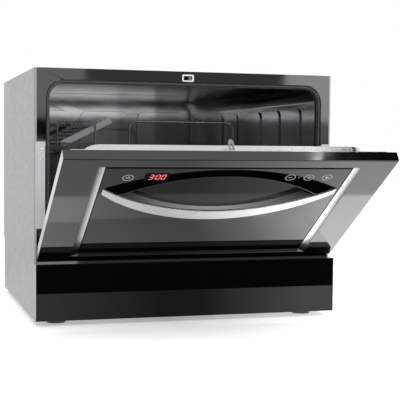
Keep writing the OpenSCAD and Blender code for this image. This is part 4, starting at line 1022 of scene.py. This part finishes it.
# The camera's place in metres, its turns in radians and its lens in millimetres.
CAMERA_PLACE = (-0.52271, -2.04827, 0.30843)
CAMERA_YAW = 0.291
CAMERA_PITCH = -0.0487
CAMERA_ROLL = -0.0085
CAMERA_LENS = 95.14
WHITE = (1, 1, 1)

# The wall of cards behind the camera: its distance, the dark band at the height of the horizon, its
# top, the upper cards' borders, and how far the brighter cards stand back.
WALL_Y = -2.03
HORIZON_LOW, HORIZON_HIGH = 0.328, 0.41
WALL_TOP = 2.4
DIM_LEFT, DIM_RIGHT = 0.146, 0.883
SET_BACK = 0.005


def stage_plane(name, corners, material, camera=False, diffuse=False):
    """A flat panel of the studio that reflections see, and the camera and diffuse rays only on request."""
    mesh = bpy.data.meshes.new(name)
    mesh.from_pydata(corners, [], [tuple(range(len(corners)))])
    mesh.materials.append(material)
    panel = bpy.data.objects.new(name, mesh)
    bpy.context.scene.collection.objects.link(panel)
    panel.visible_camera = camera
    panel.visible_diffuse = diffuse
    panel.visible_shadow = camera
    panel.visible_transmission = False


def bright_card(name, corners, strength):
    """A card that glows evenly."""
    stage_plane(name + "_card", corners, glow_card(name + "_glow", WHITE, strength))


def graded_card(name, corners, axis, ends, stops, strength, diffuse=False):
    """A card whose glow runs through given stops along one axis, between two ends in millimetres."""
    glow = graded_glow(name + "_glow", axis, *ends, stops, strength)
    stage_plane(name + "_card", corners, glow, diffuse=diffuse)


def upright(x0, x1, z0, z1, y):
    """Corners of a panel across the view."""
    return [(x0, y, z0), (x1, y, z0), (x1, y, z1), (x0, y, z1)]


def flat(x0, x1, y0, y1, z):
    """Corners of a level panel."""
    return [(x0, y0, z), (x1, y0, z), (x1, y1, z), (x0, y1, z)]


def glow_card(name, color, strength):
    """A plain glowing surface."""
    material = bpy.data.materials.new(name)
    material.use_nodes = True
    nodes = material.node_tree.nodes
    nodes.clear()
    light = nodes.new("ShaderNodeEmission")
    light.inputs["Color"].default_value = (*color, 1)
    light.inputs["Strength"].default_value = strength
    out = nodes.new("ShaderNodeOutputMaterial")
    material.node_tree.links.new(light.outputs["Emission"], out.inputs["Surface"])
    return material


def graded_glow(name, axis, low, high, stops, strength):
    """A glowing surface whose strength runs through given stops along one axis."""
    f = Finish(name, (0, 0, 0), 1.0, Emission_Color=(1, 1, 1, 1), Specular_IOR_Level=0.0)
    ramp = f.nodes.new("ShaderNodeValToRGB")
    marks = ramp.color_ramp.elements
    while len(marks) < len(stops):
        marks.new(0.5)
    for mark, (position, level) in zip(marks, stops):
        mark.position = position
        mark.color = (level, level, level, 1)
    level = f.nodes.new("ShaderNodeMath")
    level.operation = "MULTIPLY"
    level.inputs[1].default_value = strength
    f.links.new(f.across(axis, low, high), ramp.inputs["Fac"])
    f.links.new(ramp.outputs["Color"], level.inputs[0])
    f.links.new(level.outputs["Value"], f.shader.inputs["Emission Strength"])
    return f.material


def soft_light(name, place, target, size, power):
    """A square soft light that neither the camera nor a reflection sees."""
    data = bpy.data.lights.new(name, "AREA")
    data.shape = "SQUARE"
    data.size = size
    data.energy = power
    light = bpy.data.objects.new(name, data)
    light.location = place
    light.rotation_euler = (Vector(target) - Vector(place)).to_track_quat("-Z", "Y").to_euler()
    light.visible_camera = False
    light.visible_glossy = False
    bpy.context.scene.collection.objects.link(light)


class DISHWASHER_OT_stage(bpy.types.Operator):
    """Sets up the floor, the soft light, the cards and the camera"""

    bl_idname = "dishwasher.stage"
    bl_label = "Studio"

    def execute(self, context):
        scene = context.scene
        scene.view_settings.view_transform = "Standard"
        scene.world = self.white_world()
        paint = Finish("floor", (0.92, 0.92, 0.92), 0.6, Emission_Color=(*WHITE, 1), Emission_Strength=0.22)
        paint.rough(paint.noise(20, 2), 0.55, 0.65)
        stage_plane("floor", flat(-6, 6, -6, 6, 0), paint.material, camera=True, diffuse=True)
        black = glow_card("black_card", (0, 0, 0), 0)
        self.floor_cards(black)
        self.far_cards(black)
        self.mouth_cards()
        self.kick_cards(black)
        power = scene.dishwasher_looks.key_light
        soft_light("key", (1.5, -1.6, 1.9), (0, -0.1, 0.2), 1.2, power)
        soft_light("front", (-0.4, -2.2, 1.2), (0, 0, 0.3), 1.0, power * 0.5)
        self.aim_camera(scene)
        return {"FINISHED"}

    def white_world(self):
        """A white surround."""
        world = bpy.data.worlds.new("studio")
        world.use_nodes = True
        sky = world.node_tree.nodes["Background"]
        sky.inputs["Color"].default_value = (*WHITE, 1)
        sky.inputs["Strength"].default_value = 1.0
        return world

    def floor_cards(self, black):
        """What the door's face reflects of the floor: graded in front, black farther off."""
        ends, left, right = (-350, 500), -0.7, 0.9
        back, step, front, height = 0.5, -0.303, -0.66, 0.0005
        near = [(0.0, 0.5), (0.24, 0.35), (0.38, 0.2), (0.66, 0.64), (0.77, 1.0)]
        far = [(0.0, 0.35), (0.25, 0.32), (0.42, 0.26), (0.68, 0.64), (0.78, 0.9)]
        graded_card("near_floor", flat(left, right, step, back, height), "X", ends, near, 3.2)
        graded_card("far_floor", flat(left, right, front, step, height), "X", ends, far, 1.9)
        stage_plane("floor_edge_card", flat(-5, 5, -5.9, front, 0.0006), black)

    def far_cards(self, black):
        """Cards behind the camera, overhead and behind the machine at its left."""
        low, high, top, back = HORIZON_LOW, HORIZON_HIGH, WALL_TOP, WALL_Y - SET_BACK
        left, right, dark_left, dark_right = -1.4, 2.4, -0.2, 0.6
        bright_card("middle", upright(DIM_LEFT, DIM_RIGHT, high, top, WALL_Y), 0.7)
        stage_plane("horizon_card", upright(dark_left, dark_right, low, high, WALL_Y), black)
        bright_card("horizon_right", upright(dark_right, right, low, high, WALL_Y), 1.6)
        bright_card("left", upright(left, DIM_LEFT, high, top, back), 2.6)
        bright_card("right", upright(DIM_RIGHT, right, high, top, back), 5.5)
        bright_card("low", upright(-0.7, 0.12, 0.02, 0.326, back), 8)
        edge, step, end, near, far, ceiling = 1.045, 1.085, 3.0, -2.4, -0.4, 2.3
        stage_plane("ceiling_card", flat(step, end, near, far, ceiling), black)
        bright_card("ceiling_edge", flat(edge, step, near, far, ceiling), 6)
        bright_card("left_side", upright(-1.5, -0.2, 0.0, 1.2, 2.5), 1.6)

    def mouth_cards(self):
        """Cards in the mouth of the tub, dimmer to the right, that stand for the light falling in."""
        stops = [(0.0, 0.03), (0.6, 0.03), (0.66, 0.1), (0.87, 0.12), (0.9, 1.0), (0.95, 1.0), (0.97, 0.1)]
        low, high, place = 0.115, 0.424, -0.222
        borders = [("left", -0.253, 0.06, 1.2), ("middle", 0.06, 0.16, 0.8), ("right", 0.16, 0.253, 0.4)]
        for name, x0, x1, strength in borders:
            corners = upright(x0, x1, low, high, place)
            graded_card(f"mouth_{name}", corners, "Z", (low / MM, high / MM), stops, strength, diffuse=True)

    def kick_cards(self, black):
        """Cards just in front of the kick panel: what the door's underside and the panel reflect."""
        (x0, face, _), (x1, _, _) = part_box("kick_panel")
        ends, step, top = (x0 / MM, x1 / MM), 0.057, 0.092
        outer, inner = face - 0.0012, face - 0.001
        whole = [(0.0, 0.36), (0.4, 0.21), (0.55, 0.2), (0.75, 0.44), (0.95, 1.0)]
        low = [(0.0, 0.52), (0.4, 0.15), (0.55, 0.15), (0.9, 1.0)]
        graded_card("kick", upright(x0, x1, 0.0, top, outer), "X", ends, whole, 2.6)
        stage_plane("kick_upper_card", upright(x0, x1, step, top, inner), black)
        graded_card("kick_lower", upright(x0, x1, 0.0, step, inner), "X", ends, low, 1.35)

    def aim_camera(self, scene):
        """The camera, turned by its yaw, pitch and roll."""
        data = bpy.data.cameras.new("camera")
        data.lens = CAMERA_LENS
        data.sensor_width = 36
        camera = bpy.data.objects.new("camera", data)
        scene.collection.objects.link(camera)
        ahead = Vector((
            math.sin(CAMERA_YAW) * math.cos(CAMERA_PITCH),
            math.cos(CAMERA_YAW) * math.cos(CAMERA_PITCH),
            math.sin(CAMERA_PITCH),
        ))
        right = Vector((math.cos(CAMERA_YAW), -math.sin(CAMERA_YAW), 0))
        down = ahead.cross(right)
        across = right * math.cos(CAMERA_ROLL) + down * math.sin(CAMERA_ROLL)
        below = down * math.cos(CAMERA_ROLL) - right * math.sin(CAMERA_ROLL)
        turn = Matrix((across, -below, -ahead)).transposed().to_4x4()
        camera.matrix_world = Matrix.Translation(CAMERA_PLACE) @ turn
        scene.camera = camera


class DISHWASHER_PT_panel(bpy.types.Panel):
    """Sidebar panel with the dressing's steps"""

    bl_label = "Dishwasher"
    bl_idname = "DISHWASHER_PT_panel"
    bl_space_type = "VIEW_3D"
    bl_region_type = "UI"
    bl_category = "Dishwasher"

    def draw(self, context):
        looks = context.scene.dishwasher_looks
        for name in looks.__annotations__:
            self.layout.prop(looks, name)
        for step in STEPS:
            self.layout.operator(step.bl_idname)


# The pieces are made in this order.
STEPS = [
    DISHWASHER_OT_stage, DISHWASHER_OT_cabinet, DISHWASHER_OT_front, DISHWASHER_OT_tub,
    DISHWASHER_OT_door_face, DISHWASHER_OT_printed_band, DISHWASHER_OT_door_lines, DISHWASHER_OT_display,
    DISHWASHER_OT_door_liner, DISHWASHER_OT_rack, DISHWASHER_OT_basket, DISHWASHER_OT_spray_arm,
    DISHWASHER_OT_filters, DISHWASHER_OT_machinery, DISHWASHER_OT_connections,
]
CLASSES = [DishwasherLooks, *STEPS, DISHWASHER_PT_panel]


def register():
    """Adds the classes and the scene's settings."""
    for item in CLASSES:
        bpy.utils.register_class(item)
    bpy.types.Scene.dishwasher_looks = bpy.props.PointerProperty(type=DishwasherLooks)


def unregister():
    """Takes the classes and the settings away again."""
    del bpy.types.Scene.dishwasher_looks
    for item in reversed(CLASSES):
        bpy.utils.unregister_class(item)


def main():
    """Builds every piece in order."""
    register()
    for step in STEPS:
        group, name = step.bl_idname.split(".")
        getattr(getattr(bpy.ops, group), name)()


if __name__ == "__main__":
    main()
